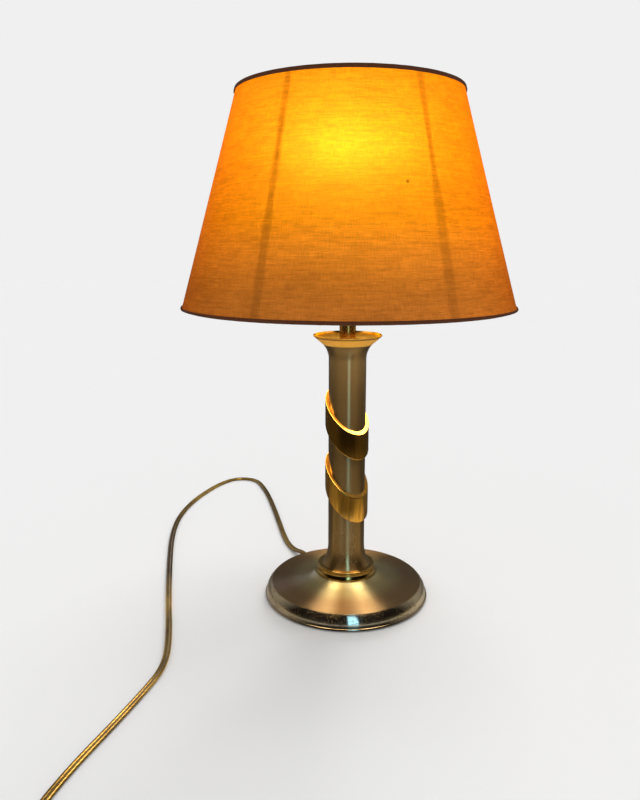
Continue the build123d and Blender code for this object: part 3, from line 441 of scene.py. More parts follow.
def plain_metal(name, colour, dark, roughness):
    """Bare or plated metal with a fine grain."""
    finish = Finish(name)
    grain = finish.grain(600.0, 4.0)
    return finish.surface(
        Base_Color=finish.tones(grain, 0.35, 0.7, colour, dark),
        Metallic=1.0,
        Roughness=finish.range(grain, 0.3, 0.7, roughness - 0.06, roughness + 0.08),
        Normal=finish.bump(grain, 0.00004, 0.3),
    )


# Other finishes

BULB_CROWN = (0.360, 0.391)
BULB_GLOW = (4.0, 105.0)
SEEN_BULB = 0.02
# Painted reflections on the flex: stretch by stretch along its length, between a painted dark and a painted
# gold.
FLEX_PAINTED_DARK = ((0.06, 0.036, 0.008), (0.12, 0.075, 0.015))
FLEX_PAINTED_GOLD = ((0.55, 0.34, 0.065), (0.95, 0.6, 0.14))
FLEX_GRIME = (0.06, 0.036, 0.009)
FLEX_PAINTED_REFLECTIONS = (
    (0.0, 0.42), (0.06, 0.5), (0.13, 0.28), (0.22, 0.16), (0.275, 0.55), (0.31, 0.95), (0.39, 0.8),
    (0.46, 0.15), (0.6, 0.08), (0.64, 0.4), (0.665, 0.8), (0.7, 0.35), (0.85, 0.42), (1.0, 0.4),
)


def moulded(name, colour, dark, roughness, grain=900.0):
    """Moulded plastic, ceramic or paint: an even colour with slight mottling and a fine skin."""
    finish = Finish(name)
    skin = finish.grain(grain, 3.0)
    mottle = finish.grain(grain / 18, 3.0)
    return finish.surface(
        Base_Color=finish.tones(mottle, 0.35, 0.7, colour, dark),
        Roughness=finish.range(skin, 0.3, 0.7, roughness - 0.06, roughness + 0.06),
        Normal=finish.bump(skin, 0.00004, 0.4),
    )


def cast_iron(name):
    """Rough cast iron with a gritty skin."""
    finish = Finish(name)
    grit = finish.grain(420.0, 6.0)
    return finish.surface(
        Base_Color=finish.mix(grit, (0.09, 0.088, 0.085), (0.16, 0.15, 0.14)),
        Metallic=0.6,
        Roughness=0.72,
        Normal=finish.bump(grit, 0.0006, 0.8),
    )


def fuzzy(name, colour, dark):
    """Pressed felt: tangled fibres and a soft sheen."""
    finish = Finish(name)
    fibres = finish.streaks(finish.place(), (900.0, 2400.0, 900.0), 4.0)
    tangle = finish.grain(1500.0, 5.0, 0.7)
    pile = finish.blend(fibres, 0.5, tangle)
    return finish.surface(
        Base_Color=finish.tones(pile, 0.35, 0.65, dark, colour),
        Roughness=0.95,
        Sheen_Weight=0.4,
        Normal=finish.bump(pile, 0.0004, 0.7),
    )


def opal_bulb(name):
    """Lit opal glass, brightest round its crown and softer to a direct look."""
    finish = Finish(name)
    _, height = finish.radius_and_height()
    mottle = finish.range(finish.grain(180.0, 2.0), 0.3, 0.7, 0.96, 1.04)
    lit = finish.fade(height, *BULB_CROWN, *BULB_GLOW)
    seen = finish.range(finish.node("LightPath").outputs["Is Camera Ray"], 0.0, 1.0, 1.0, SEEN_BULB)
    return finish.surface(
        Base_Color=(0.95, 0.9, 0.8),
        Roughness=0.25,
        Emission_Color=(1.0, 0.72, 0.2),
        Emission_Strength=finish.times(finish.times(lit, seen), mottle),
    )


def clear_glass(name):
    """Thin clear glass with slight draw lines."""
    finish = Finish(name)
    lines = finish.streaks(finish.place(), (40.0, 40.0, 900.0), 2.0)
    return finish.surface(
        Base_Color=(0.95, 0.97, 0.96),
        Roughness=0.04,
        Transmission_Weight=1.0,
        Normal=finish.bump(lines, 0.00005, 0.2),
    )


def flex_sheath(name):
    """Gold-tinted clear sheath over two stranded cores, with painted reflections along its first metre:
    stretches painted dark and stretches painted bright gold.
    """
    finish = Finish(name)
    lay = finish.lay()
    across, along, _ = finish.split(lay)
    slant = finish.math("ADD", finish.times(across, 2600.0), finish.times(along, 1500.0))
    strands = finish.range(finish.math("SINE", slant), -1.0, 1.0)
    grime = finish.streaks(lay, (300.0, 28.0, 1.0), 4.0)
    dull = finish.mix(strands, *FLEX_PAINTED_DARK)
    gold = finish.mix(strands, *FLEX_PAINTED_GOLD)
    # Painted reflections: the ramp along the flex mixes the painted dark and painted gold stretches.
    core = finish.mix(finish.grey_ramp(along, FLEX_PAINTED_REFLECTIONS), dull, gold)
    return finish.surface(
        Base_Color=finish.tones(grime, 0.45, 0.75, core, FLEX_GRIME),
        Roughness=finish.range(grime, 0.3, 0.7, 0.12, 0.24),
        Metallic=0.7,
        Coat_Weight=0.15,
        Coat_Roughness=0.06,
        Normal=finish.bump(grime, 0.0001, 0.3),
    )


def sleeved_pin(name, sleeve_end):
    """Nickel plug pin with an insulating sleeve on the half next to the plug."""
    finish = Finish(name)
    x, _, _ = finish.split(finish.place())
    bare = finish.range(x, sleeve_end - 0.0002, sleeve_end + 0.0002)
    grain = finish.streaks(finish.place(), (80.0, 2400.0, 2400.0), 3.0)
    metal = finish.tones(grain, 0.3, 0.7, (0.62, 0.6, 0.56), (0.75, 0.73, 0.69))
    return finish.surface(
        Base_Color=finish.mix(bare, grey(0.03), metal),
        Metallic=bare,
        Roughness=finish.range(grain, 0.3, 0.7, 0.22, 0.34),
        Normal=finish.bump(grain, 0.00003, 0.3),
    )


# Shade finishes: lay is (distance round, distance up the wall), level goes from 0 below to 1 above

SHADE_RIBS = 6
SHADE_MEAN_GIRTH = 0.7345
SHADE_WALL = 0.1801
RIB_HALF_SHADOW = 0.04
RIB_CORE_SHARE = 0.4
RIB_DIMMING = 0.72
RIB_DIMMING_LOW = 0.8
INSIDE_COLOUR = (1.0, 1.02, 1.15)
OUTSIDE_COLOURS = ((0.0, (1.0, 0.34, 0.09)), (0.4, (1.0, 0.34, 0.006)))
SHEEN_COLOUR = (1.0, 0.4, 0.02)
FABRIC_COLOUR = (0.2, 0.07, 0.002)
# The darker cloth colour: the uneven weave's real tone, and the ribs' painted shadows.
FABRIC_DARK_WEAVE_AND_RIB_SHADE = (0.085, 0.026, 0.001)
FIBRE_TINT = (0.87, 0.74, 0.5)
FLECK_PLACE = (0.0365, -0.1085, 0.3608)
FLECK_REACH = (0.0008, 0.0019)
FLECK_DIMMING = 0.35
RIGHT_REACH = 0.1
RIGHT_GAIN = (0.5, 0.1)
SHADE_GLOW = (
    (0.0, 0.33), (0.09, 0.35), (0.165, 0.41), (0.244, 0.56), (0.323, 0.73),
    (0.40, 0.85), (0.48, 0.94), (0.68, 1.24), (0.84, 1.36), (1.0, 1.25),
)
INSIDE_GLOW = ((0.0, 6.5), (0.4, 10.0), (1.0, 12.0))
SEEN_INSIDE = 0.09
BINDING_DARK = (0.05, 0.015, 0.005)
BINDING_RIB_HIGHLIGHT = (0.17, 0.052, 0.016)
BINDING_CORDS = 760.0


def cloth_weave(finish, lay):
    """The threads' height, and the share of light that the uneven weave lets through."""
    weft = finish.streaks(lay, (140.0, 1300.0, 1.0), 2.0)
    warp = finish.streaks(lay, (1300.0, 140.0, 1.0), 2.0)
    slub = finish.streaks(lay, (38.0, 520.0, 1.0), 3.0)
    cloud = finish.streaks(lay, (22.0, 40.0, 1.0), 4.0)
    patch = finish.streaks(lay, (75.0, 130.0, 1.0), 3.0)
    threads = finish.blend(weft, 0.55, warp)
    uneven = finish.blend(slub, 0.5, finish.blend(cloud, 0.45, patch))
    passed = finish.times(
        finish.range(threads, 0.3, 0.7, 0.74, 1.26),
        finish.range(uneven, 0.38, 0.62, 0.82, 1.18),
    )
    return threads, passed


def rib_shadows(finish, lay, level):
    """The share of light that passes the wire ribs, whose soft shadows wander in width."""
    around, _, _ = finish.split(lay)
    turns = finish.times(around, SHADE_RIBS / SHADE_MEAN_GIRTH)
    offset = finish.math("ABSOLUTE", finish.math("SUBTRACT", finish.math("FRACT", turns), 0.5))
    from_rib = finish.math("SUBTRACT", 0.5, offset)
    wander = finish.streaks(lay, (9.0, 26.0, 1.0), 1.0)
    reach = finish.times(wander, 2 * RIB_HALF_SHADOW)
    dimming = finish.range(level, 0.0, 0.4, RIB_DIMMING_LOW, RIB_DIMMING)
    return finish.fade(from_rib, RIB_CORE_SHARE * RIB_HALF_SHADOW, reach, dimming, 1.0)


def fleck_shadow(finish):
    """The share of light that passes round one dark fleck in the cloth."""
    apart = finish.node("VectorMath", {0: finish.place(), 1: FLECK_PLACE}, operation="DISTANCE")
    return finish.fade(apart.outputs[1], *FLECK_REACH, FLECK_DIMMING, 1.0)


def woven_shade(name):
    """Slubby cotton lit from behind: it glows more towards the top and, low down, on its right.

    Its inside shines less to a direct look than in the metal below, and doesn't show through the cloth.
    """
    finish = Finish(name)
    lay = finish.lay()
    _, up, _ = finish.split(lay)
    level = finish.math("DIVIDE", up, SHADE_WALL)
    threads, passed = cloth_weave(finish, lay)
    dimmed = finish.times(finish.times(passed, rib_shadows(finish, lay, level)), fleck_shadow(finish))
    rays = finish.node("LightPath").outputs
    not_through = finish.math("SUBTRACT", 1.0, rays["Is Transmission Ray"])
    inside = finish.times(finish.node("NewGeometry").outputs["Backfacing"], not_through)
    inside_lit = finish.times(
        finish.grey_ramp(level, INSIDE_GLOW),
        finish.range(rays["Is Camera Ray"], 0.0, 1.0, 1.0, SEEN_INSIDE),
    )
    lit = finish.mix(inside, finish.grey_ramp(level, SHADE_GLOW), inside_lit)
    x, _, _ = finish.split(finish.place())
    right_gain = finish.times(finish.range(x, 0.0, RIGHT_REACH), finish.range(level, 0.0, 0.7, *RIGHT_GAIN))
    right_level = finish.math("ADD", right_gain, 1.0)
    finish.owner.cycles.emission_sampling = "NONE"
    return finish.surface(
        # The base colour darkens where the weave is uneven or the fleck lies, and in the ribs' painted
        # shadows.
        Base_Color=finish.tones(dimmed, 0.5, 1.2, FABRIC_DARK_WEAVE_AND_RIB_SHADE, FABRIC_COLOUR),
        Roughness=0.75,
        IOR=2.0,
        Transmission_Weight=0.2,
        Specular_IOR_Level=0.0,
        Specular_Tint=SHEEN_COLOUR,
        Coat_Weight=1.0,
        Coat_Roughness=0.8,
        Coat_IOR=1.05,
        Coat_Tint=FIBRE_TINT,
        Emission_Color=finish.mix(inside, finish.ramp(level, OUTSIDE_COLOURS), INSIDE_COLOUR),
        Emission_Strength=finish.times(finish.times(dimmed, lit), right_level),
        Normal=finish.bump(threads, 0.00025, 0.6),
    )


def woven_binding(name):
    """Dark ribbed binding tape with a random fibre tone, painted paler where its ribs stand up as a painted
    highlight.
    """
    finish = Finish(name)
    x, y, _ = finish.split(finish.place())
    cords = finish.math("SINE", finish.times(finish.math("ARCTAN2", y, x), BINDING_CORDS))
    fibre = finish.grain(1400.0, 3.0)
    rise = finish.math("ADD", finish.times(cords, 0.25), fibre)
    return finish.surface(
        # Painted highlight: the colour is paler where the ribs stand up; the fibre noise adds a random tone.
        Base_Color=finish.tones(rise, 0.2, 0.9, BINDING_DARK, BINDING_RIB_HIGHLIGHT),
        Roughness=0.85,
        Specular_IOR_Level=0.15,
        Normal=finish.bump(rise, 0.0003, 0.6),
    )


brass = polished_brass("polished_brass")
slanted_brass = polished_brass("slanted_brass", roughness=0.08, spots=0.3)
cap_brass = dished_brass("cap_brass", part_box("column_cap")[1][2])
collar_brass = polished_brass("collar_brass", (0.4, 0.27, 0.09), (0.2, 0.12, 0.03), 0.09)
neck_brass = polished_brass("neck_brass", (0.42, 0.22, 0.05), (0.2, 0.1, 0.02), 0.2)
holder_brass = polished_brass("holder_brass", (0.52, 0.35, 0.12), (0.33, 0.2, 0.06), 0.32)
satin = satin_metal("satin_column")
base_finish = base_metal("satin_base")
steel = plain_metal("zinc_steel", (0.55, 0.54, 0.51), (0.38, 0.37, 0.35), 0.36)
contact_metal = plain_metal("contact_brass", (0.66, 0.5, 0.24), (0.45, 0.32, 0.13), 0.3)
bulb_metal = plain_metal("bulb_aluminium", (0.72, 0.72, 0.7), (0.5, 0.5, 0.49), 0.32)
tungsten = plain_metal("tungsten", (0.35, 0.34, 0.32), (0.2, 0.19, 0.18), 0.5)
ceramic = moulded("ceramic", (0.78, 0.75, 0.68), (0.68, 0.64, 0.56), 0.55)
dark_plastic = moulded("dark_plastic", (0.04, 0.035, 0.03), (0.022, 0.02, 0.018), 0.42)
pale_plastic = moulded("pale_plastic", (0.74, 0.71, 0.63), (0.62, 0.58, 0.5), 0.45)
wire_paint = moulded("wire_paint", (0.72, 0.7, 0.63), (0.58, 0.55, 0.48), 0.5, grain=1400.0)
plug_plastic = moulded("plug_plastic", (0.30, 0.19, 0.06), (0.22, 0.135, 0.04), 0.3)
tie_plastic = moulded("tie_plastic", (0.03, 0.03, 0.032), (0.015, 0.015, 0.016), 0.5)
bushing_plastic = moulded("bushing_plastic", (0.17, 0.11, 0.035), (0.11, 0.07, 0.02), 0.35)
iron = cast_iron("cast_iron")
felt = fuzzy("felt", (0.03, 0.06, 0.04), (0.012, 0.026, 0.018))
shade_weave = woven_shade("shade_weave")
binding = woven_binding("shade_binding")
opal = opal_bulb("opal_glass")
glass = clear_glass("clear_glass")
sheath = flex_sheath("flex_sheath")

shade_ribs = [f"shade_rib_{number}" for number in range(1, SHADE_RIBS + 1)]
shade_arms = [f"shade_arm_{number}" for number in range(1, 4)]
cad_finishes = (
    (base_finish, ["base_shell"]),
    (iron, ["base_weight"]),
    (steel, ["base_washer", "base_nut", "threaded_rod", "holder_nut"]),
    (collar_brass, ["foot_collar"]),
    (satin, ["column"]),
    (slanted_brass, ["upper_band", "lower_band"]),
    (brass, ["band_screws"]),
    (cap_brass, ["column_cap"]),
    (neck_brass, ["neck_tube"]),
    (holder_brass, ["holder_cup"]),
    (ceramic, ["holder_insert"]),
    (contact_metal, ["screw_shell", "centre_contact", "terminal_screws"]),
    (dark_plastic, ["switch_block", "switch_knob", "bulb_insulator"]),
    (opal, ["bulb_glass"]),
    (bulb_metal, ["bulb_contact"]),
    (glass, ["bulb_stem"]),
    (tungsten, ["bulb_filament"]),
    (wire_paint, ["shade_bottom_ring", "shade_top_ring", "shade_fitter", *shade_ribs, *shade_arms]),
    (bushing_plastic, ["cord_bushing", "inner_cord"]),
)


def dress(node_name, material):
    """Gives a CAD node its finish."""
    materials = nodes[node_name].data.materials
    materials.clear()
    materials.append(material)


for node_finish, node_names in cad_finishes:
    for node_name in node_names:
        dress(node_name, node_finish)


# Camera: at the photograph's place, with its view angle on a frame 36 mm tall

CAMERA_PLACE = (-0.0241, -0.6289, 0.3180)
CAMERA_TILT = 12.08
FRAME_HEIGHT = 36.0
LENS = 32.67
camera_data = bpy.data.cameras.new("camera")
camera_data.sensor_fit = "VERTICAL"
camera_data.sensor_height = FRAME_HEIGHT
camera_data.lens = LENS
camera = new_object("camera", camera_data)
camera.location = CAMERA_PLACE
camera.rotation_euler = (radians(90 - CAMERA_TILT), 0.0, 0.0)
bpy.context.scene.camera = camera


# Flat flex: one spline from the bushing along the floor and round the put-away coil to the plug

CORD_WIDTH = 5.6
CORD_THICKNESS = 2.8
CORD_WEB = 1.5
CORD_WEB_SLOPE = 0.12
CORD_GIRTH = 2.2 * CORD_WIDTH
FLOOR_LINE = 1.5
COIL_LOW = 2.4
COIL_TURNS = 4.25
COIL_INNER_RADIUS = 24.5
COIL_STEP = 6.8
COIL_LAYER_STEP = 3.5
COIL_END_FLARE = 4.0
COIL_POINTS_PER_TURN = 16
PLUG_HEIGHT = 6.85

cord_exit = [(-39.3, 68.07, 6.5), (-43.3, 75.0, 6.5), (-50.3, 88.2, 2.6)]
cord_on_floor = [
    (-57.8, 104.5), (-63.8, 128.0), (-70.0, 160.0), (-79.0, 208.0), (-90.5, 262.0), (-101.0, 299.0),
    (-110.0, 320.5), (-120.8, 328.8), (-133.9, 330.8), (-146.0, 325.5), (-158.0, 309.5), (-170.0, 284.0),
    (-184.5, 240.0), (-192.0, 187.0), (-189.0, 131.0), (-178.5, 66.0), (-163.0, -16.0), (-147.5, -89.0),
    (-143.5, -128.0), (-152.0, -160.0), (-163.5, -196.0), (-178.0, -238.0), (-186.5, -272.0),
]
cord_to_coil = [(-187.5, -299.0, COIL_LOW), (-187.5, -316.0, COIL_LOW)]
cord_route = cord_exit + [(x, y, FLOOR_LINE) for x, y in cord_on_floor] + cord_to_coil
coil_middle = COIL_TURNS / 2
coil_outer_radius = COIL_INNER_RADIUS + COIL_STEP * coil_middle
coil_centre = Vector((cord_route[-1][0] + coil_outer_radius, cord_route[-1][1] - CORD_WIDTH, 0.0))


def coil_point(turn):
    """Where the coil's middle line is after this many turns: inwards on the floor, outwards on top."""
    leaving = ease(2 * (turn - COIL_TURNS) + 1)
    radius = COIL_INNER_RADIUS + COIL_STEP * abs(turn - coil_middle) + COIL_END_FLARE * leaving
    height = COIL_LOW + COIL_LAYER_STEP * ease(2 * (turn - coil_middle) + 0.5)
    height += (PLUG_HEIGHT - COIL_LOW - COIL_LAYER_STEP) * leaving
    return coil_centre + round_point(radius, pi + TURN * turn, height)


coil_steps = round(COIL_TURNS * COIL_POINTS_PER_TURN)
cord_points = [Vector(point) for point in cord_route]
cord_points += [coil_point(step / COIL_POINTS_PER_TURN) for step in range(coil_steps + 1)]
plug_start = coil_point(COIL_TURNS) + Vector((CORD_WIDTH, 0.0, 0.0))
cord_points.append(plug_start)


def spline_points(points, resolution=8):
    """Points in metres along the smooth curve whose control points are these, in mm."""
    data = bpy.data.curves.new("cord_line", "CURVE")
    data.dimensions = "3D"
    data.resolution_u = resolution
    spline = data.splines.new("NURBS")
    spline.points.add(len(points) - 1)
    for control, point in zip(spline.points, points):
        control.co = (*(point * MM), 1.0)
    spline.order_u = 3
    spline.use_endpoint_u = True
    line = new_object("cord_line", data)
    bpy.context.view_layer.update()
    mesh = bpy.data.meshes.new_from_object(line)
    found = [vertex.co.copy() for vertex in mesh.vertices]
    bpy.data.objects.remove(line)
    bpy.data.curves.remove(data)
    bpy.data.meshes.remove(mesh)
    return found


def flex_outline(count=28):
    """The flex's section: two round cores with a groove between them above and below."""
    core = CORD_THICKNESS / 2
    outline = []
    for index in range(count):
        angle = TURN * index / count
        x = CORD_WIDTH / 2 * cos(angle)
        rise = sqrt(max(core**2 - (abs(x) - core) ** 2, 0.0))
        if abs(x) < core:
            rise = max(rise, CORD_WEB / 2 + CORD_WEB_SLOPE * abs(x))
        at_side = abs(sin(angle)) < TINY
        outline.append((x, 0.0 if at_side else copysign(rise, sin(angle))))
    return outline


def flex_mesh(line):
    """Points, faces and lay of the flex along a line of points, its width level and both ends closed."""
    outline = flex_outline()
    columns = len(outline)
    rings = []
    run = [0.0]
    for before, after in zip(line, line[1:]):
        run.append(run[-1] + (after - before).length)
    for index, place in enumerate(line):
        ahead = (line[min(index + 1, len(line) - 1)] - line[max(index - 1, 0)]).normalized()
        side = ahead.cross(UP).normalized()
        up = side.cross(ahead)
        rings.append([place + (side * x + up * y) * MM for x, y in outline])
    points, faces = skinned(rings)
    uvs = []
    for face in faces[:-2]:
        for corner, vertex in enumerate(face):
            column = vertex % columns
            if corner in (1, 2) and column == 0:
                column = columns
            uvs.append((column * CORD_GIRTH * MM / columns, run[vertex // columns]))
    uvs += [(0.0, 0.0)] * columns
    uvs += [(0.0, run[-1])] * columns
    return points, faces, uvs


cord_line = spline_points(cord_points)
flex_points, flex_faces, flex_uvs = flex_mesh(cord_line)
flex = new_piece(
    "flex", flex_points, flex_faces, "stand", sheath, ("cord", "cord_coil"), flex_uvs
)


# Plug: a flat moulded body with a ribbed tail, and sleeved pins

PLUG_TAIL = 20.0
PLUG_TAIL_PLAIN = 2.0
PLUG_SHOULDER = 22.0
PLUG_FACE = 12.0
PLUG_LIP = 1.2
PLUG_END_SECTION = Vector((7.6, 4.8, 2.6))
PLUG_NECK_SECTION = Vector((12.0, 9.0, 2.6))
PLUG_BODY_SECTION = Vector((35.3, 13.7, 5.0))
PLUG_RIB_PITCH = 3.2
PLUG_GROOVE = 0.86
PLUG_STEP = 0.4
PLUG_BODY_STEPS = 40
PIN_SLEEVE = 9.5
plug_length = PLUG_TAIL + PLUG_SHOULDER + PLUG_FACE


def plug_section(along):
    """Width, thickness and squareness of the plug this far from the flex."""
    if along < PLUG_TAIL:
        on_rib = along % PLUG_RIB_PITCH < PLUG_RIB_PITCH / 2 or along > PLUG_TAIL - PLUG_TAIL_PLAIN
        groove = 1.0 if on_rib else PLUG_GROOVE
        width, thickness, square = PLUG_END_SECTION.lerp(PLUG_NECK_SECTION, along / PLUG_TAIL)
        return width * groove, thickness * groove, square
    share = ease((along - PLUG_TAIL) / PLUG_SHOULDER)
    width, thickness, square = PLUG_NECK_SECTION.lerp(PLUG_BODY_SECTION, share)
    lip = max(along - (plug_length - PLUG_LIP), 0.0)
    return width - lip, thickness - lip, square


def plug_mesh(columns=40):
    """Points and faces of the plug's body, from the flex to its face."""
    body_step = (PLUG_SHOULDER + PLUG_FACE) / PLUG_BODY_STEPS
    stations = [PLUG_STEP * step for step in range(round(PLUG_TAIL / PLUG_STEP))]
    stations += [PLUG_TAIL + body_step * step for step in range(PLUG_BODY_STEPS + 1)]
    rings = []
    for along in stations:
        width, thickness, square = plug_section(along)
        ring = []
        for column in range(columns):
            angle = TURN * column / columns
            y = copysign(abs(cos(angle)) ** (2 / square), cos(angle)) * width / 2
            z = copysign(abs(sin(angle)) ** (2 / square), sin(angle)) * thickness / 2
            ring.append((plug_start + Vector((along, y, z))) * MM)
        rings.append(ring)
    return skinned(rings)


plug_points, plug_faces = plug_mesh()
plug = new_piece("plug", plug_points, plug_faces, "stand", plug_plastic, ("plug_body",))
pin_sleeve_end = (plug_start.x + plug_length + PIN_SLEEVE) * MM
dress("plug_pins", sleeved_pin("plug_pins", pin_sleeve_end))


# Tie: a flat coated wire round the coil's turns, its two ends twisted together on top

TIE_WIDTH = 4.0
TIE_THICKNESS = 0.8
TIE_CORNER = 2.2
TIE_EDGE_ROUND = 0.3
TIE_CLEARANCE = 0.6
TIE_BELOW = 0.1
TIE_ANGLE = 45.0
TIE_TWIST_RADIUS = 1.2
TIE_TWIST_LENGTH = 11.0
TIE_TWISTS = 3.5
tie_outward = round_point(1.0, radians(TIE_ANGLE), 0.0)
tie_along = tie_outward.cross(UP)
tie_half_reach = (coil_outer_radius - COIL_INNER_RADIUS + CORD_WIDTH + TIE_THICKNESS) / 2
tie_half_height = (COIL_LAYER_STEP + CORD_THICKNESS + TIE_CLEARANCE + TIE_THICKNESS) / 2
tie_centre = coil_centre + tie_outward * (coil_outer_radius + COIL_INNER_RADIUS) / 2
tie_centre.z = COIL_LOW - CORD_THICKNESS / 2 - TIE_BELOW + tie_half_height - TIE_THICKNESS / 2


def tie_band_mesh():
    """Points and faces of the band: thin edges with a wire between them, carried round a rounded box."""
    corners = box_corners((-tie_half_reach, -tie_half_height), (tie_half_reach, tie_half_height))
    line = rounded_loop(corners, TIE_CORNER, 8)
    section_corners = [
        (-TIE_WIDTH / 2, -TIE_THICKNESS / 2),
        (TIE_WIDTH / 2, -TIE_THICKNESS / 2),
        (TIE_WIDTH / 2, TIE_THICKNESS / 8),
        (TIE_WIDTH / 6, TIE_THICKNESS / 8),
        (0.0, TIE_THICKNESS / 2),
        (-TIE_WIDTH / 6, TIE_THICKNESS / 8),
        (-TIE_WIDTH / 2, TIE_THICKNESS / 8),
    ]
    section = rounded_loop(section_corners, TIE_EDGE_ROUND, 3)
    rings = []
    for index, (reach, height) in enumerate(line):
        before = Vector(line[index - 1])
        after = Vector(line[(index + 1) % len(line)])
        heading = (after - before).normalized()
        place = tie_centre + tie_outward * reach + UP * height
        out = tie_outward * heading.y - UP * heading.x
        rings.append([(place + tie_along * across + out * rise) * MM for across, rise in section])
    return skinned(rings, joined=True)


def tie_twist_mesh(columns=20, steps=60):
    """Points and faces of the two ends, wound round each other and thinner at their tips."""
    foot = tie_centre - tie_outward * TIE_TWIST_LENGTH / 4
    foot.z += tie_half_height + TIE_TWIST_RADIUS
    rings = []
    for step in range(steps + 1):
        share = step / steps
        wind = TURN * TIE_TWISTS * share
        size = TIE_TWIST_RADIUS * (1 - 0.35 * ease(6 * share - 5))
        ring = []
        for column in range(columns):
            angle = TURN * column / columns
            reach = size * (0.55 + 0.45 * abs(cos(angle)))
            across = tie_along * reach * cos(angle + wind)
            rise = UP * reach * sin(angle + wind)
            ring.append((foot + tie_outward * TIE_TWIST_LENGTH * share + across + rise) * MM)
        rings.append(ring)
    return skinned(rings)


band_points, band_faces = tie_band_mesh()
twist_points, twist_faces = tie_twist_mesh()
tie_points = band_points + twist_points
tie_faces = band_faces + [tuple(vertex + len(band_points) for vertex in face) for face in twist_faces]
tie = new_piece("twist_tie", tie_points, tie_faces, "stand", tie_plastic, ("cord_tie",))


# Shade: one sheet of cloth, the glued seam at its back and its rolled edges

SHADE_BOTTOM_RADIUS = 141.3
SHADE_TOP_RADIUS = 92.5
SHADE_HEIGHT = 173.4
SHADE_BOTTOM = 266.2
CLOTH_THICKNESS = 0.8
CLOTH_SLACK = 0.5
CLOTH_ROWS = 60
CLOTH_COLUMNS = 360
SEAM_COLUMNS = 6
SEAM_WIDTH = 9.0
SEAM_PROUD = 0.25
TRIM_THICKNESS = 0.8
TRIM_HEIGHT = 2.6
TRIM_LOW_FLAP = 1.3
TRIM_DEPTH = 4.2
TRIM_GAP = 0.02
TRIM_ROUND = 1.0
TRIM_SEGMENTS = 480
TRIM_PUFF = 0.16
TRIM_PUFF_SPREAD = 24.0
shade_slope = atan2(SHADE_BOTTOM_RADIUS - SHADE_TOP_RADIUS, SHADE_HEIGHT)
wall_length = hypot(SHADE_BOTTOM_RADIUS - SHADE_TOP_RADIUS, SHADE_HEIGHT)


def wall_point(along, out):
    """A point (radius, height) in mm, this far up the shade's wall and this far out of its outer face."""
    radius = SHADE_BOTTOM_RADIUS - along * sin(shade_slope) + out * cos(shade_slope)
    height = SHADE_BOTTOM + along * cos(shade_slope) + out * sin(shade_slope)
    return radius, height


def cloth_piece(name, columns, angle_at, out, replaced=()):
    """Cloth on the shade's wall: round at the wires, drawn in between the ribs.

    angle_at gives the angle for a place up the wall and a share of the way round.
    """
    points = []
    lay = []
    for row in range(CLOTH_ROWS + 1):
        along = wall_length * row / CLOTH_ROWS
        slack = sin(pi * row / CLOTH_ROWS)
        for column in range(columns + 1):
            angle = angle_at(along, column / columns)
            between = 0.5 - 0.5 * cos(SHADE_RIBS * angle)
            radius, height = wall_point(along, out - CLOTH_THICKNESS / 2 - CLOTH_SLACK * slack * between)
            points.append(round_point(radius, angle, height) * MM)
            lay.append((SHADE_MEAN_GIRTH * angle / TURN, along * MM))
    faces = grid_faces(CLOTH_ROWS + 1, columns + 1)
    uvs = [lay[vertex] for face in faces for vertex in face]
    return new_piece(name, points, faces, "shade", shade_weave, replaced, uvs, closed=False)


def whole_turn(_, share):
    return TURN * share


def across_seam(along, share):
    return pi / 2 + (share - 0.5) * SEAM_WIDTH / wall_point(along, 0.0)[0]


cloth = cloth_piece("shade_cloth", CLOTH_COLUMNS, whole_turn, 0.0, ("shade_fabric",))
seam = cloth_piece("shade_seam", SEAM_COLUMNS, across_seam, SEAM_PROUD)


def trim_piece(node, edge_along, inward, flap):
    """A rolled edge: a folded tape, slightly uneven round its length.

    flap is how far its outer side reaches up or down the cloth.
    """
    edge = edge_along - inward * TRIM_THICKNESS
    hem = edge_along + inward * TRIM_HEIGHT
    back = -TRIM_DEPTH - TRIM_THICKNESS
    corners = [
        wall_point(edge, TRIM_THICKNESS),
        wall_point(edge_along + inward * flap, TRIM_THICKNESS),
        wall_point(edge_along + inward * flap, TRIM_GAP),
        wall_point(edge_along, TRIM_GAP),
        wall_point(edge_along, -TRIM_DEPTH),
        wall_point(hem, -TRIM_DEPTH),
        wall_point(hem, back),
        wall_point(edge, back),
    ]

    def uneven(radius, height, angle):
        puff = noise.noise(round_point(TRIM_PUFF_SPREAD, angle, edge_along)) * TRIM_PUFF
        return radius - abs(puff), height + puff * 0.5

    outline = rounded_loop(corners, TRIM_ROUND)
    return turned_piece(f"{node}_tape", outline, TRIM_SEGMENTS, "shade", binding, node, uneven)


bottom_trim = trim_piece("shade_bottom_trim", 0.0, 1.0, TRIM_LOW_FLAP)
top_trim = trim_piece("shade_top_trim", wall_length, -1.0, TRIM_HEIGHT)


# Felt under the base

FELT_RADIUS = 72.0
FELT_THICKNESS = 2.0
FELT_BORE = 0.5
FELT_ROUND = 0.6
FELT_SEGMENTS = 180
felt_outline = rounded_loop(box_corners((FELT_BORE, 0.0), (FELT_RADIUS, FELT_THICKNESS)), FELT_ROUND)
felt_pad = turned_piece("felt_pad", felt_outline, FELT_SEGMENTS, "stand", felt, "base_felt")


# Threads of the lamp holder and the bulb, and the grips of the clamp ring

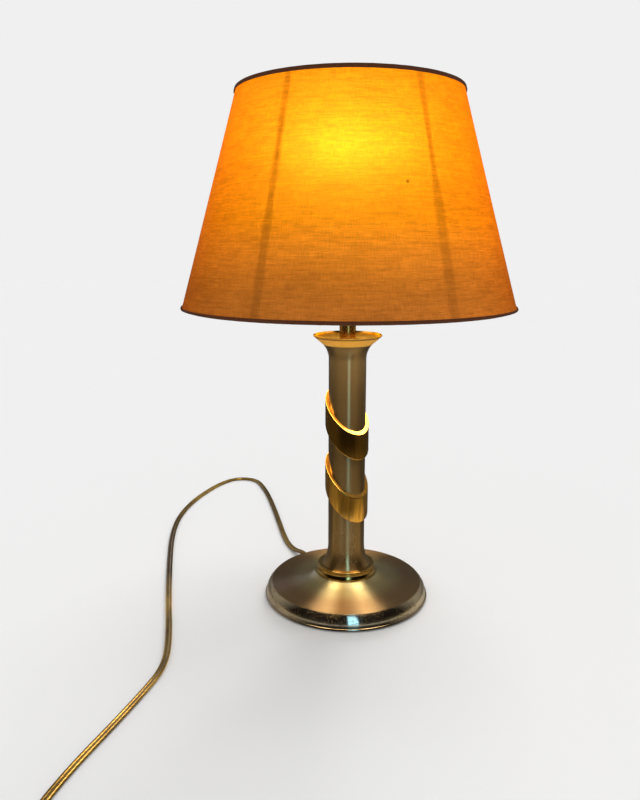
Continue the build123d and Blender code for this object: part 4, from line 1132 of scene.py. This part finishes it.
CUP_TOP = 278.0
FITTER_SEAT = 280.5
SLEEVE_TOP = 312.0
SLEEVE_RADIUS = 19.8
SLEEVE_BORE = 18.0
SLEEVE_FLANGE = 24.0
SLEEVE_PITCH = 2.6
SLEEVE_THREAD = 0.55
BULB_CAP_FOOT = 291.2
BULB_CAP_TOP = 312.5
BULB_CAP_RADIUS = 13.2
BULB_CAP_BORE = 12.7
BULB_PITCH = 3.6
BULB_THREAD = 0.375
CLAMP_SEAT = 281.7
CLAMP_BORE = 19.9
CLAMP_FLANGE = 28.0
CLAMP_FLANGE_TOP = 283.9
CLAMP_COLLAR = 23.6
CLAMP_TOP = 288.9
CLAMP_GRIPS = 40
CLAMP_GRIP_DEPTH = 0.6
CLAMP_GRIP_STEPS = 8
THREAD_STEPS = 10
THREAD_SEGMENTS = 96
EDGE_BREAK = 0.3


def thread_line(radius, low, high, pitch):
    """Points (radius, height) up a cylinder, close enough together for its thread."""
    steps = round(THREAD_STEPS * (high - low) / pitch)
    return [(radius, low + (high - low) * step / steps) for step in range(steps + 1)]


def cut_thread(crest, low, high, pitch, depth):
    """A shape for turned_piece: a rounded thread cut into the cylinder of this radius, faded at its ends."""

    def shape(radius, height, angle):
        if abs(radius - crest) > TINY:
            return radius, height
        wave = 0.5 - 0.5 * cos(TURN * height / pitch - angle)
        fade = ease((height - low) / pitch) * ease((high - height) / pitch)
        return radius - depth * wave * fade, height

    return shape


def clamp_grips(radius, height, angle):
    """Finger grips round the clamp ring's flange."""
    notch = max(cos(CLAMP_GRIPS * angle), 0.0) ** 0.5
    reach = (radius - CLAMP_COLLAR) / (CLAMP_FLANGE - CLAMP_COLLAR)
    return radius - CLAMP_GRIP_DEPTH * notch * ease(4 * reach - 3), height


sleeve_profile = [
    (SLEEVE_BORE, CUP_TOP),
    (SLEEVE_FLANGE - EDGE_BREAK, CUP_TOP),
    (SLEEVE_FLANGE, CUP_TOP + EDGE_BREAK),
    (SLEEVE_FLANGE, FITTER_SEAT - EDGE_BREAK),
    (SLEEVE_FLANGE - EDGE_BREAK, FITTER_SEAT),
    *thread_line(SLEEVE_RADIUS, FITTER_SEAT, SLEEVE_TOP - EDGE_BREAK, SLEEVE_PITCH),
    (SLEEVE_RADIUS - EDGE_BREAK, SLEEVE_TOP),
    (SLEEVE_BORE, SLEEVE_TOP),
]
sleeve_thread = cut_thread(SLEEVE_RADIUS, FITTER_SEAT, SLEEVE_TOP, SLEEVE_PITCH, SLEEVE_THREAD)
turned_piece(
    "threaded_sleeve", sleeve_profile, THREAD_SEGMENTS,
    "stand", holder_brass, "holder_sleeve", sleeve_thread,
)

cap_profile = [
    (BULB_CAP_BORE, BULB_CAP_FOOT),
    *thread_line(BULB_CAP_RADIUS, BULB_CAP_FOOT, BULB_CAP_TOP, BULB_PITCH),
    (BULB_CAP_BORE, BULB_CAP_TOP),
]
cap_thread = cut_thread(BULB_CAP_RADIUS, BULB_CAP_FOOT, BULB_CAP_TOP, BULB_PITCH, BULB_THREAD)
turned_piece(
    "threaded_bulb_cap", cap_profile, THREAD_SEGMENTS,
    "bulb", bulb_metal, "bulb_cap", cap_thread,
)

clamp_profile = [
    (CLAMP_BORE, CLAMP_SEAT),
    (CLAMP_COLLAR, CLAMP_SEAT),
    (CLAMP_FLANGE - EDGE_BREAK, CLAMP_SEAT),
    (CLAMP_FLANGE, CLAMP_SEAT + EDGE_BREAK),
    (CLAMP_FLANGE, CLAMP_FLANGE_TOP - EDGE_BREAK),
    (CLAMP_FLANGE - EDGE_BREAK, CLAMP_FLANGE_TOP),
    (CLAMP_COLLAR, CLAMP_FLANGE_TOP),
    (CLAMP_COLLAR, CLAMP_TOP - EDGE_BREAK),
    (CLAMP_COLLAR - EDGE_BREAK, CLAMP_TOP),
    (CLAMP_BORE, CLAMP_TOP),
]
turned_piece(
    "gripped_clamp_ring", clamp_profile, CLAMP_GRIPS * CLAMP_GRIP_STEPS,
    "clamp_ring", pale_plastic, "shade_clamp_ring", clamp_grips,
)

# The bulb and the lit cloth show in metal and to the camera, and throw no light on the floor
nodes["bulb_glass"].visible_diffuse = False
cloth.visible_diffuse = False


# Studio: pale floor and surroundings, two soft suns, and cards of a room that only reflections see

SURROUND = 0.871
WORLD_LIGHT = 0.641
FLOOR_MOTTLE = 0.003
FLOOR_HALF = 6.0
ROOM_RADIUS = 1.6
ROOM_HEIGHT = 2.0
ROOM_SEGMENTS = 96
CEILING_GAP = 0.05
CEILING_HEIGHT = 2.3
ROOM_DARK = (0.014, 0.011, 0.008)
ROOM_SIDE = (0.42, 0.37, 0.29)
ROOM_BACK = (0.14, 0.127, 0.105)
TABLE_START = 0.0752
TABLE_END = 0.52
TABLE_HEIGHT = 0.0005
TABLE_DARK = (0.02, 0.016, 0.012)
TABLE_LIT = (1.6, 1.5, 1.3)
SIDE_WINDOW_TOWARDS = Vector((-0.51, 0.776, 0.0)).normalized()
SIDE_WINDOW_AWAY = 1.5
SIDE_WINDOW_HALF = 0.15
SIDE_WINDOW_HEIGHTS = (0.25, 1.05)
WINDOW_MIDDLE = Vector((0.27, -1.55, 0.0))
WINDOW_HALF = Vector((0.23, 0.0, 0.0))
WINDOW_HEIGHTS = (0.02, 1.95)

studio = Finish("studio", "World")
rays = studio.node("LightPath").outputs
seen = studio.math("MAXIMUM", rays["Is Camera Ray"], rays["Is Glossy Ray"])
seen = studio.math("MAXIMUM", seen, rays["Is Transmission Ray"])
light = studio.node("Background", {"Color": grey(1.0), "Strength": WORLD_LIGHT}).outputs[0]
backdrop = studio.node("Background", {"Color": grey(SURROUND)}).outputs[0]
bpy.context.scene.world = studio.show(studio.node("MixShader", {0: seen, 1: light, 2: backdrop}))


def stage_piece(name, points, faces, material):
    """A piece of the studio."""
    piece = mesh_object(name, points, faces, material)
    return piece


floor_finish = Finish("floor")
floor_cloud = floor_finish.grain(2.0, 2.0)
floor_material = floor_finish.surface(
    Base_Color=floor_finish.mix(floor_cloud, grey(SURROUND - FLOOR_MOTTLE), grey(SURROUND + FLOOR_MOTTLE)),
    Roughness=0.9,
    Specular_IOR_Level=0.0,
)
floor_corners = box_corners((-FLOOR_HALF, -FLOOR_HALF), (FLOOR_HALF, FLOOR_HALF))
stage_piece("floor", [(x, y, 0.0) for x, y in floor_corners], [(0, 1, 2, 3)], floor_material)


def reflection_card(name, points, faces, material):
    """A card that shows in metal and glass and nowhere else."""
    card = stage_piece(name, points, faces, material)
    card.visible_camera = False
    card.visible_diffuse = False
    card.visible_shadow = False
    card.visible_transmission = False


def ring_card(name, places, material):
    """A card turned about the lamp's axis through these (radius, height) places."""
    points = []
    for segment in range(ROOM_SEGMENTS):
        angle = TURN * segment / ROOM_SEGMENTS
        points += [round_point(radius, angle, height) for radius, height in places]
    reflection_card(name, points, grid_faces(ROOM_SEGMENTS, len(places), wrap_rows=True), material)


def window_card(name, middle, half, heights, colour, strength):
    """An upright shining card, half to each side of its middle."""
    low, high = heights
    corners = [middle + half * side + UP * height for side, height in box_corners((-1, low), (1, high))]
    reflection_card(name, corners, [(0, 1, 2, 3)], Finish(name).glow(colour, strength))


def room_glow():
    """A dark room in front, paler at both sides, dim behind."""
    finish = Finish("room")
    stops = ((0.45, ROOM_DARK), (0.62, ROOM_SIDE), (0.72, ROOM_SIDE), (0.92, ROOM_BACK))
    return finish.glow(finish.ramp(finish.from_front(), stops), 1.0)


def table_glow():
    """A mottled table top: in front a pale lit ring between dark ones, pale at the sides, dim behind."""
    finish = Finish("table")
    radius, _ = finish.radius_and_height()
    away = finish.range(radius, TABLE_START, TABLE_END)
    front_stops = (
        (0.07, TABLE_DARK), (0.16, TABLE_LIT), (0.24, TABLE_LIT),
        (0.36, (0.14, 0.12, 0.08)), (0.73, (0.2, 0.165, 0.11)), (1.0, TABLE_DARK),
    )
    side_stops = (
        (0.0, (0.5, 0.44, 0.35)), (0.25, (1.0, 0.82, 0.48)), (0.45, (0.28, 0.24, 0.16)),
        (0.7, (0.22, 0.19, 0.13)), (1.0, (0.06, 0.05, 0.035)),
    )
    back_stops = ((0.0, (0.2, 0.18, 0.15)), (1.0, (0.06, 0.055, 0.045)))
    around = finish.from_front()
    to_side = finish.fade(around, 0.14, 0.34)
    to_back = finish.fade(around, 0.46, 0.62)
    near = finish.mix(to_side, finish.ramp(away, front_stops), finish.ramp(away, side_stops))
    colour = finish.mix(to_back, near, finish.ramp(away, back_stops))
    mottle = finish.range(finish.grain(15.0, 2.0), 0.35, 0.65, 0.65, 1.3)
    return finish.glow(colour, mottle)


room_places = ((ROOM_RADIUS, 0.0), (ROOM_RADIUS, ROOM_HEIGHT), (CEILING_GAP, CEILING_HEIGHT))
ring_card("room", room_places, room_glow())
ring_card("table", ((TABLE_START, TABLE_HEIGHT), (ROOM_RADIUS, TABLE_HEIGHT)), table_glow())
window_card(
    "side_window",
    SIDE_WINDOW_TOWARDS * SIDE_WINDOW_AWAY,
    SIDE_WINDOW_TOWARDS.cross(UP) * SIDE_WINDOW_HALF,
    SIDE_WINDOW_HEIGHTS,
    colour=(0.82, 0.84, 1.2),
    strength=1.0,
)
window_card("window", WINDOW_MIDDLE, WINDOW_HALF, WINDOW_HEIGHTS, colour=(0.42, 0.9, 1.25), strength=3.0)


def soft_sun(name, towards, energy, spread):
    """A distant light that lies in this direction; metal and glass don't mirror it."""
    data = bpy.data.lights.new(name, "SUN")
    data.energy = energy
    data.angle = radians(spread)
    lamp = new_object(name, data)
    lamp.rotation_euler = Vector(towards).to_track_quat("Z", "Y").to_euler()
    lamp.visible_glossy = False


soft_sun("top_light", towards=(0.23, 0.41, 0.88), energy=0.78, spread=33)
soft_sun("back_light", towards=(0.26, 0.86, 0.44), energy=1.0, spread=25)

bpy.context.scene.view_settings.view_transform = "Standard"
